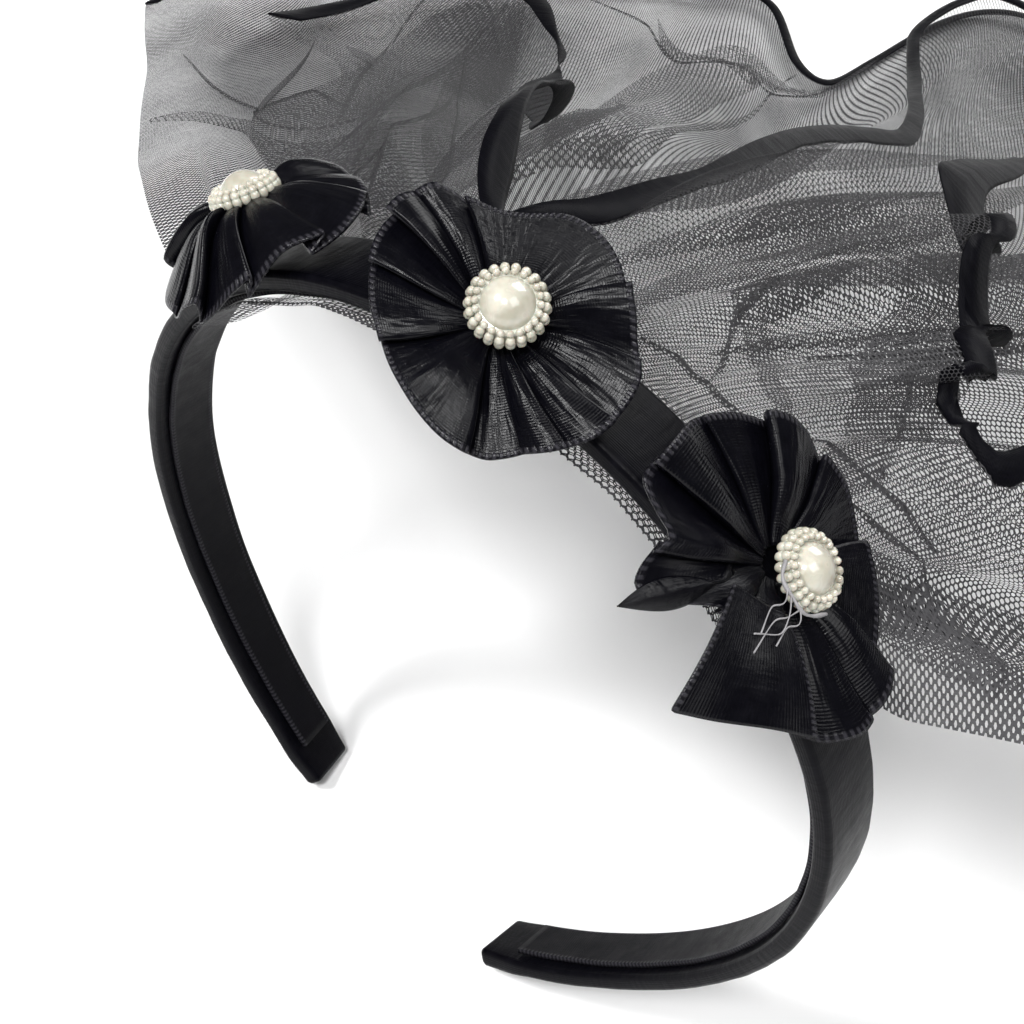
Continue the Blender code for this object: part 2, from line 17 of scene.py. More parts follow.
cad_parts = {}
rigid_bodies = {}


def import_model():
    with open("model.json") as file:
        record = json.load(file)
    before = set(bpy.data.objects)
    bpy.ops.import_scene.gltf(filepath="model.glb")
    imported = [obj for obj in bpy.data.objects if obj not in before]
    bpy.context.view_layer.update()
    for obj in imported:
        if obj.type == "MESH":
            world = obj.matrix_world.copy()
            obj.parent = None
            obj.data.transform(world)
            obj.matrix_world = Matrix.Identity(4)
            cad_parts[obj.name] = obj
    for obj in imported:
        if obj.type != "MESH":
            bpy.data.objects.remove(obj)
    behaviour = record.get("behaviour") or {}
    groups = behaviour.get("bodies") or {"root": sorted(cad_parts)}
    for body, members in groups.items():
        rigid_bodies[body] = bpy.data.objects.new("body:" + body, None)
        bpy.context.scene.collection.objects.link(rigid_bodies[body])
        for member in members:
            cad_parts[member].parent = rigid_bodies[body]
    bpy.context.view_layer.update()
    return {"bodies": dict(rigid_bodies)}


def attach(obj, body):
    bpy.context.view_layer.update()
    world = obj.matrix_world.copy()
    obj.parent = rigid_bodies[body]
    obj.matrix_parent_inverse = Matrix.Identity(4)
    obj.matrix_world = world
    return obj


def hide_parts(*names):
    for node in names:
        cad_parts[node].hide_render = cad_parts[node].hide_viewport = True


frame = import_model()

MM = 0.001
SETTLE = np.array([0.462, -181.924, -0.021])
BODY = next(iter(frame["bodies"]))
CELLS_AWAY = 4000.0  # whole net cells that keep the pattern's coordinates above zero
LOG = logging.getLogger("veiled_headband")


class Weave(Enum):
    """Ways in which a ribbon is woven."""

    SATIN = "satin"
    PLAIN = "plain"


class Tier(Enum):
    """The two net tiers."""

    LOWER = "lower"
    UPPER = "upper"


# Small numeric helpers


def smooth(x: np.ndarray) -> np.ndarray:
    """Smooth step from 0 to 1."""
    x = np.clip(x, 0.0, 1.0)
    return x * x * (3.0 - 2.0 * x)


def unit(v: np.ndarray) -> np.ndarray:
    """Unit vectors along the last axis."""
    return v / np.maximum(np.linalg.norm(v, axis=-1, keepdims=True), 1e-12)


def together(*parts: np.ndarray) -> np.ndarray:
    """Values of one grid, side by side along a new last axis."""
    return np.stack(np.broadcast_arrays(*parts), axis=-1)


def curve_value(x: np.ndarray, xs: np.ndarray, ys: np.ndarray) -> np.ndarray:
    """Cubic through table stations.

    Args:
        x: Places to read.
        xs: Stations of the table.
        ys: Values at the stations.

    Returns:
        Values at x.
    """
    x = np.asarray(x, dtype=float)
    slopes = np.gradient(ys, xs)
    i = np.clip(np.searchsorted(xs, x) - 1, 0, len(xs) - 2)
    h = xs[i + 1] - xs[i]
    w = (x - xs[i]) / h
    a = (1 + 2 * w) * (1 - w) ** 2
    b = w * (1 - w) ** 2 * h
    c = w * w * (3 - 2 * w)
    d = w * w * (w - 1) * h
    return a * ys[i] + b * slopes[i] + c * ys[i + 1] + d * slopes[i + 1]


def ripple(x: np.ndarray, y: np.ndarray, seed: float) -> np.ndarray:
    """Soft irregular field between about -1 and 1.

    Args:
        x: First coordinate, about one feature per unit.
        y: Second coordinate.
        seed: Picks the pattern.

    Returns:
        The field at each place.
    """
    total = 0.0
    waves = ((0.3, 2.1), (1.45, 2.9), (2.3, 3.7), (0.85, 4.9), (2.9, 1.6))
    for k, (turn, rate) in enumerate(waves):
        phase = 7.31 * seed + 2.17 * k * seed + k
        total = total + math.cos(0.7 * k) ** 2 * np.sin(
            rate * (x * math.cos(turn + seed) + y * math.sin(turn + seed)) + phase)
    return total / 2.2


# Meshes


def make_piece(name: str, verts: np.ndarray, faces: list, uv: np.ndarray | None = None,
               layers: dict | None = None) -> bpy.types.Object:
    """Make a smooth mesh object from corners in millimetres.

    Args:
        name: Name of the piece.
        verts: Corners, one row each.
        faces: Corner numbers of each face.
        uv: Cloth coordinates of each corner, in centimetres.
        layers: Named values of each corner, read by the materials.

    Returns:
        The new object.
    """
    mesh = bpy.data.meshes.new(name)
    mesh.from_pydata(((np.asarray(verts) + SETTLE) * MM).tolist(), [], faces)
    mesh.polygons.foreach_set("use_smooth", [True] * len(mesh.polygons))
    if uv is not None:
        corner = np.empty(len(mesh.loops), dtype=np.int32)
        mesh.loops.foreach_get("vertex_index", corner)
        chart = mesh.uv_layers.new(name="cloth")
        chart.data.foreach_set("uv", np.asarray(uv, dtype=np.float32)[corner].ravel())
    for key, values in (layers or {}).items():
        layer = mesh.attributes.new(key, "FLOAT", "POINT")
        layer.data.foreach_set("value", np.asarray(values, dtype=np.float32).ravel())
    mesh.update()
    thing = bpy.data.objects.new(name, mesh)
    bpy.context.scene.collection.objects.link(thing)
    return thing


def grid_faces(rows: int, cols: int, ring: bool = False) -> list:
    """Faces of a grid of corners, row by row.

    Args:
        rows: Number of rows.
        cols: Corners in a row.
        ring: True where the last column joins the first.

    Returns:
        Four corner numbers for each face.
    """
    i, j = np.meshgrid(np.arange(rows - 1), np.arange(cols if ring else cols - 1), indexing="ij")
    k = (j + 1) % cols
    quads = np.stack([i * cols + j, i * cols + k, (i + 1) * cols + k, (i + 1) * cols + j], axis=-1)
    return quads.reshape(-1, 4).tolist()


def sheet_piece(name: str, points: np.ndarray, uv: np.ndarray,
                layers: dict | None = None) -> bpy.types.Object:
    """Make an open sheet from a grid of points.

    Args:
        name: Name of the piece.
        points: Grid of places, rows by columns by three, in millimetres.
        uv: Cloth coordinates of the grid.
        layers: Named values of each grid place.

    Returns:
        The new object.
    """
    rows, cols = points.shape[:2]
    flat = {key: np.asarray(values).reshape(-1) for key, values in (layers or {}).items()}
    return make_piece(name, points.reshape(-1, 3), grid_faces(rows, cols), uv.reshape(-1, 2), flat)


def tube_piece(name: str, rings: np.ndarray, uv: np.ndarray) -> bpy.types.Object:
    """Make a closed tube from rows of section points, capped at both ends.

    Args:
        name: Name of the piece.
        rings: Section points, rows by columns by three, in millimetres.
        uv: Cloth coordinates of the points.

    Returns:
        The new object.
    """
    rows, cols = rings.shape[:2]
    faces = grid_faces(rows, cols, True)
    faces.append(list(range(cols)))
    faces.append([(rows - 1) * cols + j for j in range(cols)][::-1])
    thing = make_piece(name, rings.reshape(-1, 3), faces, uv.reshape(-1, 2))
    turn_outwards(thing)
    return thing


def turn_outwards(thing: bpy.types.Object) -> None:
    """Point the faces of a closed mesh outwards.

    Args:
        thing: The piece.
    """
    work = bmesh.new()
    work.from_mesh(thing.data)
    bmesh.ops.remove_doubles(work, verts=work.verts, dist=1e-7)
    bmesh.ops.recalc_face_normals(work, faces=work.faces)
    work.to_mesh(thing.data)
    work.free()


def select_only(*things: bpy.types.Object) -> None:
    """Select these objects alone and make the last one active.

    Args:
        things: The objects.
    """
    for other in bpy.context.view_layer.objects:
        other.select_set(False)
    for thing in things:
        thing.select_set(True)
    bpy.context.view_layer.objects.active = things[-1]


def finish_modifiers(thing: bpy.types.Object) -> None:
    """Apply every modifier of a piece.

    Args:
        thing: The piece.
    """
    select_only(thing)
    for modifier in list(thing.modifiers):
        bpy.ops.object.modifier_apply(modifier=modifier.name)


def thicken(thing: bpy.types.Object, wall: float, rounds: int = 0) -> None:
    """Give a sheet its wall and round it, and apply both.

    Args:
        thing: The open sheet.
        wall: Thickness in millimetres.
        rounds: Levels of rounding.
    """
    if rounds:
        round_off = thing.modifiers.new("round", "SUBSURF")
        round_off.levels = round_off.render_levels = rounds
    solid = thing.modifiers.new("wall", "SOLIDIFY")
    solid.thickness = wall * MM
    solid.offset = 0.0
    solid.use_even_offset = False
    finish_modifiers(thing)


# Materials


class NodeBench:
    """Lays out the nodes of one material."""

    def __init__(self, name: str) -> None:
        """Start a material with one Principled shader.

        Args:
            name: Name of the material.
        """
        self.material = bpy.data.materials.new(name)
        self.material.use_nodes = True
        self.tree = self.material.node_tree
        self.shader = self.tree.nodes["Principled BSDF"]

    def add(self, kind: str, **settings) -> bpy.types.Node:
        """Add a node and set its options.

        Args:
            kind: Type of the node.
            settings: Its options.

        Returns:
            The node.
        """
        node = self.tree.nodes.new(kind)
        for key, value in settings.items():
            setattr(node, key, value)
        return node

    def feed(self, socket: bpy.types.NodeSocket, value) -> None:
        """Link a socket to another one or set its value.

        Args:
            socket: The input.
            value: A socket or a value.
        """
        if isinstance(value, bpy.types.NodeSocket):
            self.tree.links.new(value, socket)
        else:
            socket.default_value = value

    def math(self, operation: str, *values) -> bpy.types.NodeSocket:
        """Add a Math node.

        Args:
            operation: What it does.
            values: Sockets or numbers.

        Returns:
            The result.
        """
        node = self.add("ShaderNodeMath", operation=operation)
        for socket, value in zip(node.inputs, values):
            self.feed(socket, value)
        return node.outputs[0]

    def times(self, first, second) -> bpy.types.NodeSocket:
        """Product of two values."""
        return self.math("MULTIPLY", first, second)

    def plus(self, first, second) -> bpy.types.NodeSocket:
        """Sum of two values."""
        return self.math("ADD", first, second)

    def vector(self, operation: str, *values) -> bpy.types.NodeSocket:
        """Add a Vector Math node; gives its Value for length and dot product.

        Args:
            operation: What it does.
            values: Sockets or vectors.

        Returns:
            The result.
        """
        node = self.add("ShaderNodeVectorMath", operation=operation)
        for socket, value in zip(node.inputs, values):
            self.feed(socket, value)
        return node.outputs["Value" if operation in ("LENGTH", "DOT_PRODUCT") else "Vector"]

    def cloth(self) -> bpy.types.NodeSocket:
        """Cloth coordinates, in centimetres."""
        return self.add("ShaderNodeUVMap", uv_map="cloth").outputs[0]

    def place(self) -> bpy.types.NodeSocket:
        """Object coordinates, in metres."""
        return self.add("ShaderNodeTexCoord").outputs["Object"]

    def value(self, name: str) -> bpy.types.NodeSocket:
        """Value of a named layer of the mesh."""
        return self.add("ShaderNodeAttribute", attribute_name=name).outputs["Fac"]

    def split(self, vector: bpy.types.NodeSocket) -> tuple:
        """X, Y and Z of a vector.

        Args:
            vector: The vector.

        Returns:
            Three values.
        """
        node = self.add("ShaderNodeSeparateXYZ")
        self.feed(node.inputs[0], vector)
        return node.outputs[0], node.outputs[1], node.outputs[2]

    def join(self, x, y, z=0.0) -> bpy.types.NodeSocket:
        """A vector of three values.

        Args:
            x: First value.
            y: Second value.
            z: Third value.

        Returns:
            The vector.
        """
        node = self.add("ShaderNodeCombineXYZ")
        for socket, value in zip(node.inputs, (x, y, z)):
            self.feed(socket, value)
        return node.outputs[0]

    def noise(self, where: bpy.types.NodeSocket, scale: float, detail: float = 2.0,
              rough: float = 0.5) -> bpy.types.NodeSocket:
        """Noise between 0 and 1.

        Args:
            where: Coordinates to read.
            scale: Features per unit.
            detail: Finer layers.
            rough: Weight of the finer layers.

        Returns:
            The noise.
        """
        node = self.add("ShaderNodeTexNoise")
        settings = {"Vector": where, "Scale": scale, "Detail": detail, "Roughness": rough}
        for key, value in settings.items():
            self.feed(node.inputs[key], value)
        return node.outputs["Fac"]

    def remap(self, value, low: float, high: float, to_low: float,
              to_high: float) -> bpy.types.NodeSocket:
        """Map a range of values to another, held at its ends.

        Args:
            value: What is mapped.
            low: Start of its range.
            high: End of its range.
            to_low: Start of the new range.
            to_high: End of the new range.

        Returns:
            The mapped value.
        """
        node = self.add("ShaderNodeMapRange", clamp=True)
        for socket, number in zip(node.inputs, (value, low, high, to_low, to_high)):
            self.feed(socket, number)
        return node.outputs[0]

    def blend(self, share, first, second) -> bpy.types.NodeSocket:
        """Mix two colours.

        Args:
            share: Share of the second colour.
            first: Socket or three values.
            second: Socket or three values.

        Returns:
            The mixed colour.
        """
        node = self.add("ShaderNodeMix", data_type="RGBA")
        self.feed(node.inputs["Factor"], share)
        for socket, colour in zip([s for s in node.inputs if s.type == "RGBA"], (first, second)):
            linked = isinstance(colour, bpy.types.NodeSocket)
            self.feed(socket, colour if linked else (*colour, 1.0))
        return [s for s in node.outputs if s.type == "RGBA"][0]

    def bump(self, height, strength: float, distance: float, under=None) -> bpy.types.NodeSocket:
        """Bump from a height in units of distance, in metres.

        Args:
            height: The height.
            strength: Share that is used.
            distance: Unit of height.
            under: Normal below it.

        Returns:
            The normal.
        """
        node = self.add("ShaderNodeBump")
        node.inputs["Strength"].default_value = strength
        node.inputs["Distance"].default_value = distance
        self.feed(node.inputs["Height"], height)
        if under is not None:
            self.feed(node.inputs["Normal"], under)
        return node.outputs[0]

    def set(self, **values) -> "NodeBench":
        """Set or link sockets of the shader, named with _ for a space.

        Args:
            values: Sockets or values by name.

        Returns:
            The bench.
        """
        for key, value in values.items():
            self.feed(self.shader.inputs[key.replace("_", " ")], value)
        return self


@dataclass(frozen=True)
class RibbonFinish:
    """Black woven ribbon: glossy floats, crushed streaks, corded selvedge with painted highlights
    on its beads.
    """

    name: str
    weave: Weave = Weave.SATIN
    dark: tuple = (0.0008, 0.0008, 0.0015)
    light: tuple = (0.0034, 0.0033, 0.0054)
    gloss: float = 0.15
    rough: tuple = (0.15, 0.30)
    line_cm: float = 0.034
    crush: float = 0.5
    selvedge_cm: tuple = ()

    def make(self) -> bpy.types.Material:
        """Build the material."""
        bench = NodeBench(self.name)
        cloth = bench.cloth()
        along, across, _ = bench.split(cloth)
        streak = bench.noise(bench.join(bench.times(along, 5.0),
                                        bench.times(across, 60.0)), 1.0, 3.0, 0.6)
        cloud = bench.noise(cloth, 3.2, 3.0, 0.55)
        rib = bench.math("SINE", bench.times(across, 2 * math.pi / self.line_cm))
        weft = self.line_cm * 1.3
        cross = bench.math("SINE", bench.times(along, 2 * math.pi / weft))
        thread = bench.times(rib, 0.5)
        if self.weave is Weave.PLAIN:
            thread = bench.times(rib, cross)
        crush = bench.noise(bench.join(bench.times(along, 7.0),
                                       bench.times(across, 1.6)), 1.0, 2.0, 0.5)
        height = bench.plus(bench.times(thread, 0.2),
                            bench.times(crush, self.crush * 6.0))
        height = bench.plus(height, bench.times(streak, 0.5))
        tone = bench.plus(bench.times(streak, 0.6), bench.times(cloud, 0.4))
        colour = bench.blend(bench.remap(tone, 0.3, 0.75, 0.0, 1.0), self.dark, self.light)
        rough = bench.remap(cloud, 0.25, 0.8, self.rough[0], self.rough[1])
        if self.selvedge_cm:
            edge, bead = self.edges(bench, along, across)
            # painted highlight: the beads of the selvedge cord are painted lighter, standing in
            # for glints; the cord's relief in the height below is real
            colour = bench.blend(bench.times(edge, bead), colour, (0.024, 0.023, 0.028))
            height = bench.plus(height, bench.times(edge, bead))
        bench.set(Base_Color=colour, Roughness=rough, Specular_IOR_Level=self.gloss,
                  Normal=bench.bump(height, 0.55, 0.00012))
        return bench.material

    def edges(self, bench: NodeBench, along, across) -> tuple:
        """Corded selvedge lines; their beads also carry the painted highlight.

        Args:
            bench: The material's bench.
            along: Cloth coordinate along the ribbon.
            across: Cloth coordinate across the ribbon.

        Returns:
            Share of the cord and the beads of its wrapping thread.
        """
        edge = None
        for line in self.selvedge_cm:
            gap = bench.math("ABSOLUTE", bench.math("SUBTRACT", across, line))
            near = bench.remap(gap, 0.02, 0.055, 1.0, 0.0)
            edge = near if edge is None else bench.math("MAXIMUM", edge, near)
        bead = bench.math("SINE", bench.times(along, 2 * math.pi / 0.085))
        return edge, bench.remap(bead, -0.4, 0.7, 0.12, 1.0)


@dataclass(frozen=True)
class NetFinish:
    """Black tulle: threads on a six-sided mesh, holes between them, with painted shading across
    each thread.
    """

    name: str
    pitch_cm: float = 0.105
    thread: float = 0.235
    # dark is the painted shade at the sides of each thread, light the painted highlight along its
    # middle
    dark: tuple = (0.010, 0.010, 0.012)
    light: tuple = (0.040, 0.039, 0.042)

    def make(self) -> bpy.types.Material:
        """Build the material; the mesh's dense layer makes threads thicker."""
        bench = NodeBench(self.name)
        cloth = bench.cloth()
        cell = bench.vector("SCALE", cloth)
        cell.node.inputs["Scale"].default_value = 1.0 / self.pitch_cm
        size = (1.0, math.sqrt(3.0), 1.0)
        half = tuple(0.5 * s for s in size)
        far = (CELLS_AWAY * size[0], CELLS_AWAY * size[1], 0.0)
        gaps = []
        for start in (cell, bench.vector("ADD", cell, half)):
            wrapped = bench.vector("MODULO", bench.vector("ADD", start, far), size)
            way = bench.vector("SUBTRACT", wrapped, half)
            x, y, _ = bench.split(bench.vector("ABSOLUTE", way))
            slant = bench.plus(bench.times(x, 0.5),
                               bench.times(y, math.sqrt(3.0) / 2))
            gaps.append(bench.math("MAXIMUM", x, slant))
        inside = bench.math("MINIMUM", gaps[0], gaps[1])
        rim = bench.math("SUBTRACT", 0.5, inside)
        uneven = bench.noise(cloth, 6.0, 2.0)
        plain = bench.remap(uneven, 0.3, 0.7, 0.42 * self.thread, 0.58 * self.thread)
        bunch = bench.remap(bench.noise(cloth, 0.22, 3.0), 0.36, 0.66, 0.72, 1.45)
        width = bench.plus(bench.times(bench.value("dense"), 0.5),
                           bench.times(plain, bunch))
        alpha = bench.math("LESS_THAN", rim, width)
        # painted shading: each thread is painted lighter along its middle and darker at its sides,
        # with a random share
        tone = bench.remap(bench.math("DIVIDE", rim, width), 0.1, 1.0, 0.0, 1.0)
        colour = bench.blend(bench.times(tone, bench.noise(cloth, 40.0)), self.light, self.dark)
        bench.set(Base_Color=colour, Roughness=bench.remap(uneven, 0.3, 0.7, 0.5, 0.72),
                  Specular_IOR_Level=0.35, Alpha=alpha)
        return bench.material


@dataclass(frozen=True)
class PearlFinish:
    """Cream pearl lacquer with a soft depth, a clear gloss and painted shade towards its outline.
    """

    name: str
    cream: tuple = (0.56, 0.54, 0.46)
    # darker tone: used for the random mottle and for the painted shade towards the outline
    mottle_and_shade: tuple = (0.38, 0.36, 0.29)
    coat: float = 0.9

    def make(self) -> bpy.types.Material:
        """Build the material."""
        bench = NodeBench(self.name)
        place = bench.place()
        cloud = bench.noise(place, 420.0, 2.0)
        rim = bench.add("ShaderNodeLayerWeight")
        rim.inputs["Blend"].default_value = 0.35
        tone = bench.blend(bench.remap(cloud, 0.35, 0.7, 0.0, 1.0), self.cream, self.mottle_and_shade)
        # painted shade: the facing value darkens the pearl towards its outline
        colour = bench.blend(bench.times(rim.outputs["Facing"], 0.5), tone, self.mottle_and_shade)
        bench.set(Base_Color=colour, Roughness=bench.remap(cloud, 0.3, 0.7, 0.22, 0.34),
                  Coat_Weight=self.coat, Coat_Roughness=0.06,
                  Subsurface_Weight=0.12, Subsurface_Scale=0.0015,
                  Normal=bench.bump(bench.noise(place, 1800.0, 2.0), 0.05, 0.0001))
        return bench.material


@dataclass(frozen=True)
class ThreadFinish:
    """Twisted thread or a drawn string of glue."""

    name: str
    colour: tuple = (0.32, 0.31, 0.32)
    rough: float = 0.4

    def make(self) -> bpy.types.Material:
        """Build the material."""
        bench = NodeBench(self.name)
        place = bench.place()
        cloud = bench.noise(place, 900.0, 3.0)
        dim = tuple(0.55 * c for c in self.colour)
        bench.set(Base_Color=bench.blend(cloud, dim, self.colour),
                  Roughness=bench.remap(cloud, 0.3, 0.7, self.rough, self.rough + 0.2),
                  Normal=bench.bump(bench.noise(place, 2600.0), 0.4, 0.0001))
        return bench.material


@dataclass(frozen=True)
class FloorFinish:
    """Pale matt backdrop paper."""

    name: str
    colour: tuple = (0.93, 0.93, 0.93)

    def make(self) -> bpy.types.Material:
        """Build the material."""
        bench = NodeBench(self.name)
        grain = bench.noise(bench.place(), 60.0, 3.0)
        low = tuple(0.985 * c for c in self.colour)
        bench.set(Base_Color=bench.blend(grain, low, self.colour), Roughness=0.9,
                  Specular_IOR_Level=0.1)
        return bench.material


# Band


@dataclass
class BandLine:
    """Centre line of the band: bend radii, set back and outward turn by arc length."""

    half_length: float = 190.0
    crown_radius: float = 61.0
    width: float = 12.6
    thickness: float = 3.0
    crown_height: float = 139.98
    crown_tilt_deg: float = 7.27
    table: tuple = (
        (-1.0, 1.639, 0.556, 20.0), (-0.75, 1.557, 0.476, 7.5), (-0.5, 1.361, 0.238, 1.0),
        (-0.25, 1.115, 0.04, -2.0), (0.0, 1.0, 0.0, -3.4), (0.25, 1.016, 0.19, -4.5),
        (0.5, 1.115, 0.429, -3.5), (0.75, 1.344, 0.397, 3.0), (1.0, 2.0, -0.127, 16.0))

    def __post_init__(self) -> None:
        """Add up the bends from the crown to both tips."""
        rows = np.array(self.table)
        self.stations = self.half_length * rows[:, 0]
        self.backs = self.width * rows[:, 2]
        self.turns = rows[:, 3]
        self.arc = np.linspace(-self.half_length, self.half_length, 761)
        bend = np.interp(self.arc, self.stations, 1.0 / (self.crown_radius * rows[:, 1]))
        step = self.arc[1] - self.arc[0]
        angle = np.concatenate(([0.0], np.cumsum((bend[1:] + bend[:-1]) / 2 * step)))
        mid = len(self.arc) // 2
        self.angle = angle - angle[mid] + math.radians(self.crown_tilt_deg)
        for key, rate in (("x", np.cos(self.angle)), ("z", -np.sin(self.angle))):
            run = np.concatenate(([0.0], np.cumsum((rate[1:] + rate[:-1]) / 2 * step)))
            setattr(self, key, run - run[mid])
        self.z = self.z + self.crown_height

    def point(self, arc: np.ndarray) -> np.ndarray:
        """Centre line points.

        Args:
            arc: Arc lengths from the crown.

        Returns:
            Points in millimetres.
        """
        return np.stack([np.interp(arc, self.arc, self.x),
                         curve_value(arc, self.stations, self.backs),
                         np.interp(arc, self.arc, self.z)], axis=-1)

    def frame(self, arc: np.ndarray) -> tuple:
        """Point, along, outward and front directions at arc lengths.

        Args:
            arc: Arc lengths from the crown.

        Returns:
            The point and three directions.
        """
        arc = np.asarray(arc, dtype=float)
        low = np.maximum(arc - 0.5, -self.half_length)
        high = np.minimum(arc + 0.5, self.half_length)
        along = unit(self.point(high) - self.point(low))
        angle = np.interp(arc, self.arc, self.angle)
        out = np.stack([np.sin(angle), np.zeros_like(angle), np.cos(angle)], axis=-1)
        out = unit(out - (out * along).sum(-1, keepdims=True) * along)
        front = np.cross(along, out)
        turn = np.radians(curve_value(arc, self.stations, self.turns))[..., None]
        turned = np.cos(turn) * out + np.sin(turn) * front
        return self.point(arc), along, turned, np.cross(along, turned)


LINE = BandLine()


@dataclass
class SatinBand:
    """Ribbon wrapped band with pinched ends, and the ribbon glued along its inner face."""

    line: BandLine
    tip_narrow: float = 0.90
    lining_width: float = 8.4
    lining_wall: float = 0.8
    lining_end: float = 182.0
    gap: float = 0.3
    spans: int = 190
    edge_round: float = 0.95
    rows: tuple = (-2.6, 0.0, 2.6)

    def blank(self) -> bpy.types.Object:
        """Straight rounded strip, still flat, with its length along X."""
        bpy.ops.object.select_all(action="DESELECT")
        bpy.ops.mesh.primitive_cube_add(size=1.0, location=(0.0, 0.0, 0.0))
        strip = bpy.context.object
        strip.name = strip.data.name = "satin_band"
        strip.scale = (2 * self.line.half_length, self.line.width, self.line.thickness)
        bpy.ops.object.transform_apply(location=True, rotation=True, scale=True)
        bpy.ops.object.mode_set(mode="EDIT")
        bpy.ops.mesh.select_all(action="SELECT")
        bpy.ops.mesh.bevel(offset=self.edge_round, segments=4, affect="EDGES")
        bpy.ops.object.mode_set(mode="OBJECT")
        return strip

    def build(self) -> bpy.types.Object:
        """Slice the blank along its length and lay it on the centre line."""
        strip = self.blank()
        work = bmesh.new()
        work.from_mesh(strip.data)
        half = self.line.half_length
        cuts = [((float(cut), 0, 0), (1, 0, 0))
                for cut in np.linspace(-half + 1.0, half - 1.0, self.spans)]
        cuts += [((0, cut, 0), (0, 1, 0)) for cut in self.rows]
        for place, way in cuts:
            whole = work.verts[:] + work.edges[:] + work.faces[:]
            bmesh.ops.bisect_plane(work, geom=whole, plane_co=place, plane_no=way)
        work.verts.ensure_lookup_table()
        flat = np.array([v.co for v in work.verts])
        chart = work.loops.layers.uv.new("cloth")
        girth = self.line.width + self.line.thickness
        for face in work.faces:
            low = face.normal.z < -0.5
            for loop in face.loops:
                x, y, z = flat[loop.vert.index]
                across = y + z * 0.9 if not low else girth - y
                loop[chart].uv = (x / 10.0, across / 10.0)
            face.smooth = True
        placed = self.lay(flat)
        for vert, spot in zip(work.verts, placed):
            vert.co = (spot + SETTLE) * MM
        bmesh.ops.recalc_face_normals(work, faces=work.faces)
        work.to_mesh(strip.data)
        work.free()
        strip.data.update()
        return strip

    def lay(self, flat: np.ndarray) -> np.ndarray:
        """Places on the bent, wrapped band of points of the straight blank.

        Args:
            flat: Points of the blank; X runs along the band.

        Returns:
            Points in space.
        """
        arc = np.clip(flat[:, 0], -self.line.half_length, self.line.half_length)
        spot, _, out, front = self.line.frame(arc)
        to_tip = self.line.half_length - np.abs(arc)
        narrow = self.tip_narrow + (1 - self.tip_narrow) * smooth(to_tip / 9.0)
        thick = 1.0 + 0.10 * (1 - smooth(to_tip / 14.0))
        y, z = flat[:, 1], flat[:, 2]
        top = smooth(z / 1.2)
        wrinkle = 0.10 * ripple(arc / 6.0, y / 4.0, 1.3) + 0.05 * ripple(arc / 2.2, y / 7.0, 2.6)
        pinch = 0.30 * np.exp(-(to_tip / 7.0) ** 2) * np.cos(y * 2.1 + 0.5 * np.sin(arc))
        swell = (wrinkle * smooth(to_tip / 3.0) + pinch * smooth(to_tip / 1.5)) * top
        side = 0.12 * ripple(arc / 9.0, np.sign(y) * 2.0, 3.1) * smooth(to_tip / 6.0)
        return (spot + front * (y * narrow + side * np.sign(y) * smooth(np.abs(y) / 6.0))[:, None]
                + out * (z * thick + swell)[:, None])

    def lining(self) -> bpy.types.Object:
        """Ribbon along the inner face, a little wavy where the glue holds less."""
        arcs = np.linspace(-self.lining_end, self.lining_end, 260)
        spot, _, out, front = self.line.frame(arcs)
        half = self.lining_width / 2
        across = np.array([-half, -half + 0.25, -half * 0.5, 0.0, half * 0.5, half - 0.25, half])
        wave = (0.10 * ripple(arcs[:, None] / 11.0, across[None] / 3.0, 4.4)
                + 0.05 * ripple(arcs[:, None] / 3.0, across[None] / 2.0, 0.4))
        depth = -(self.line.thickness / 2 + self.gap + self.lining_wall / 2 + 0.1) - wave
        points = (spot[:, None] + front[:, None] * across[None, :, None]
                  + out[:, None] * depth[..., None])
        uv = together(arcs[:, None] / 10, across[None] / 10 + half / 10)
        piece = sheet_piece("inner_lining", points, uv)
        thicken(piece, self.lining_wall)
        return piece


# Rosettes


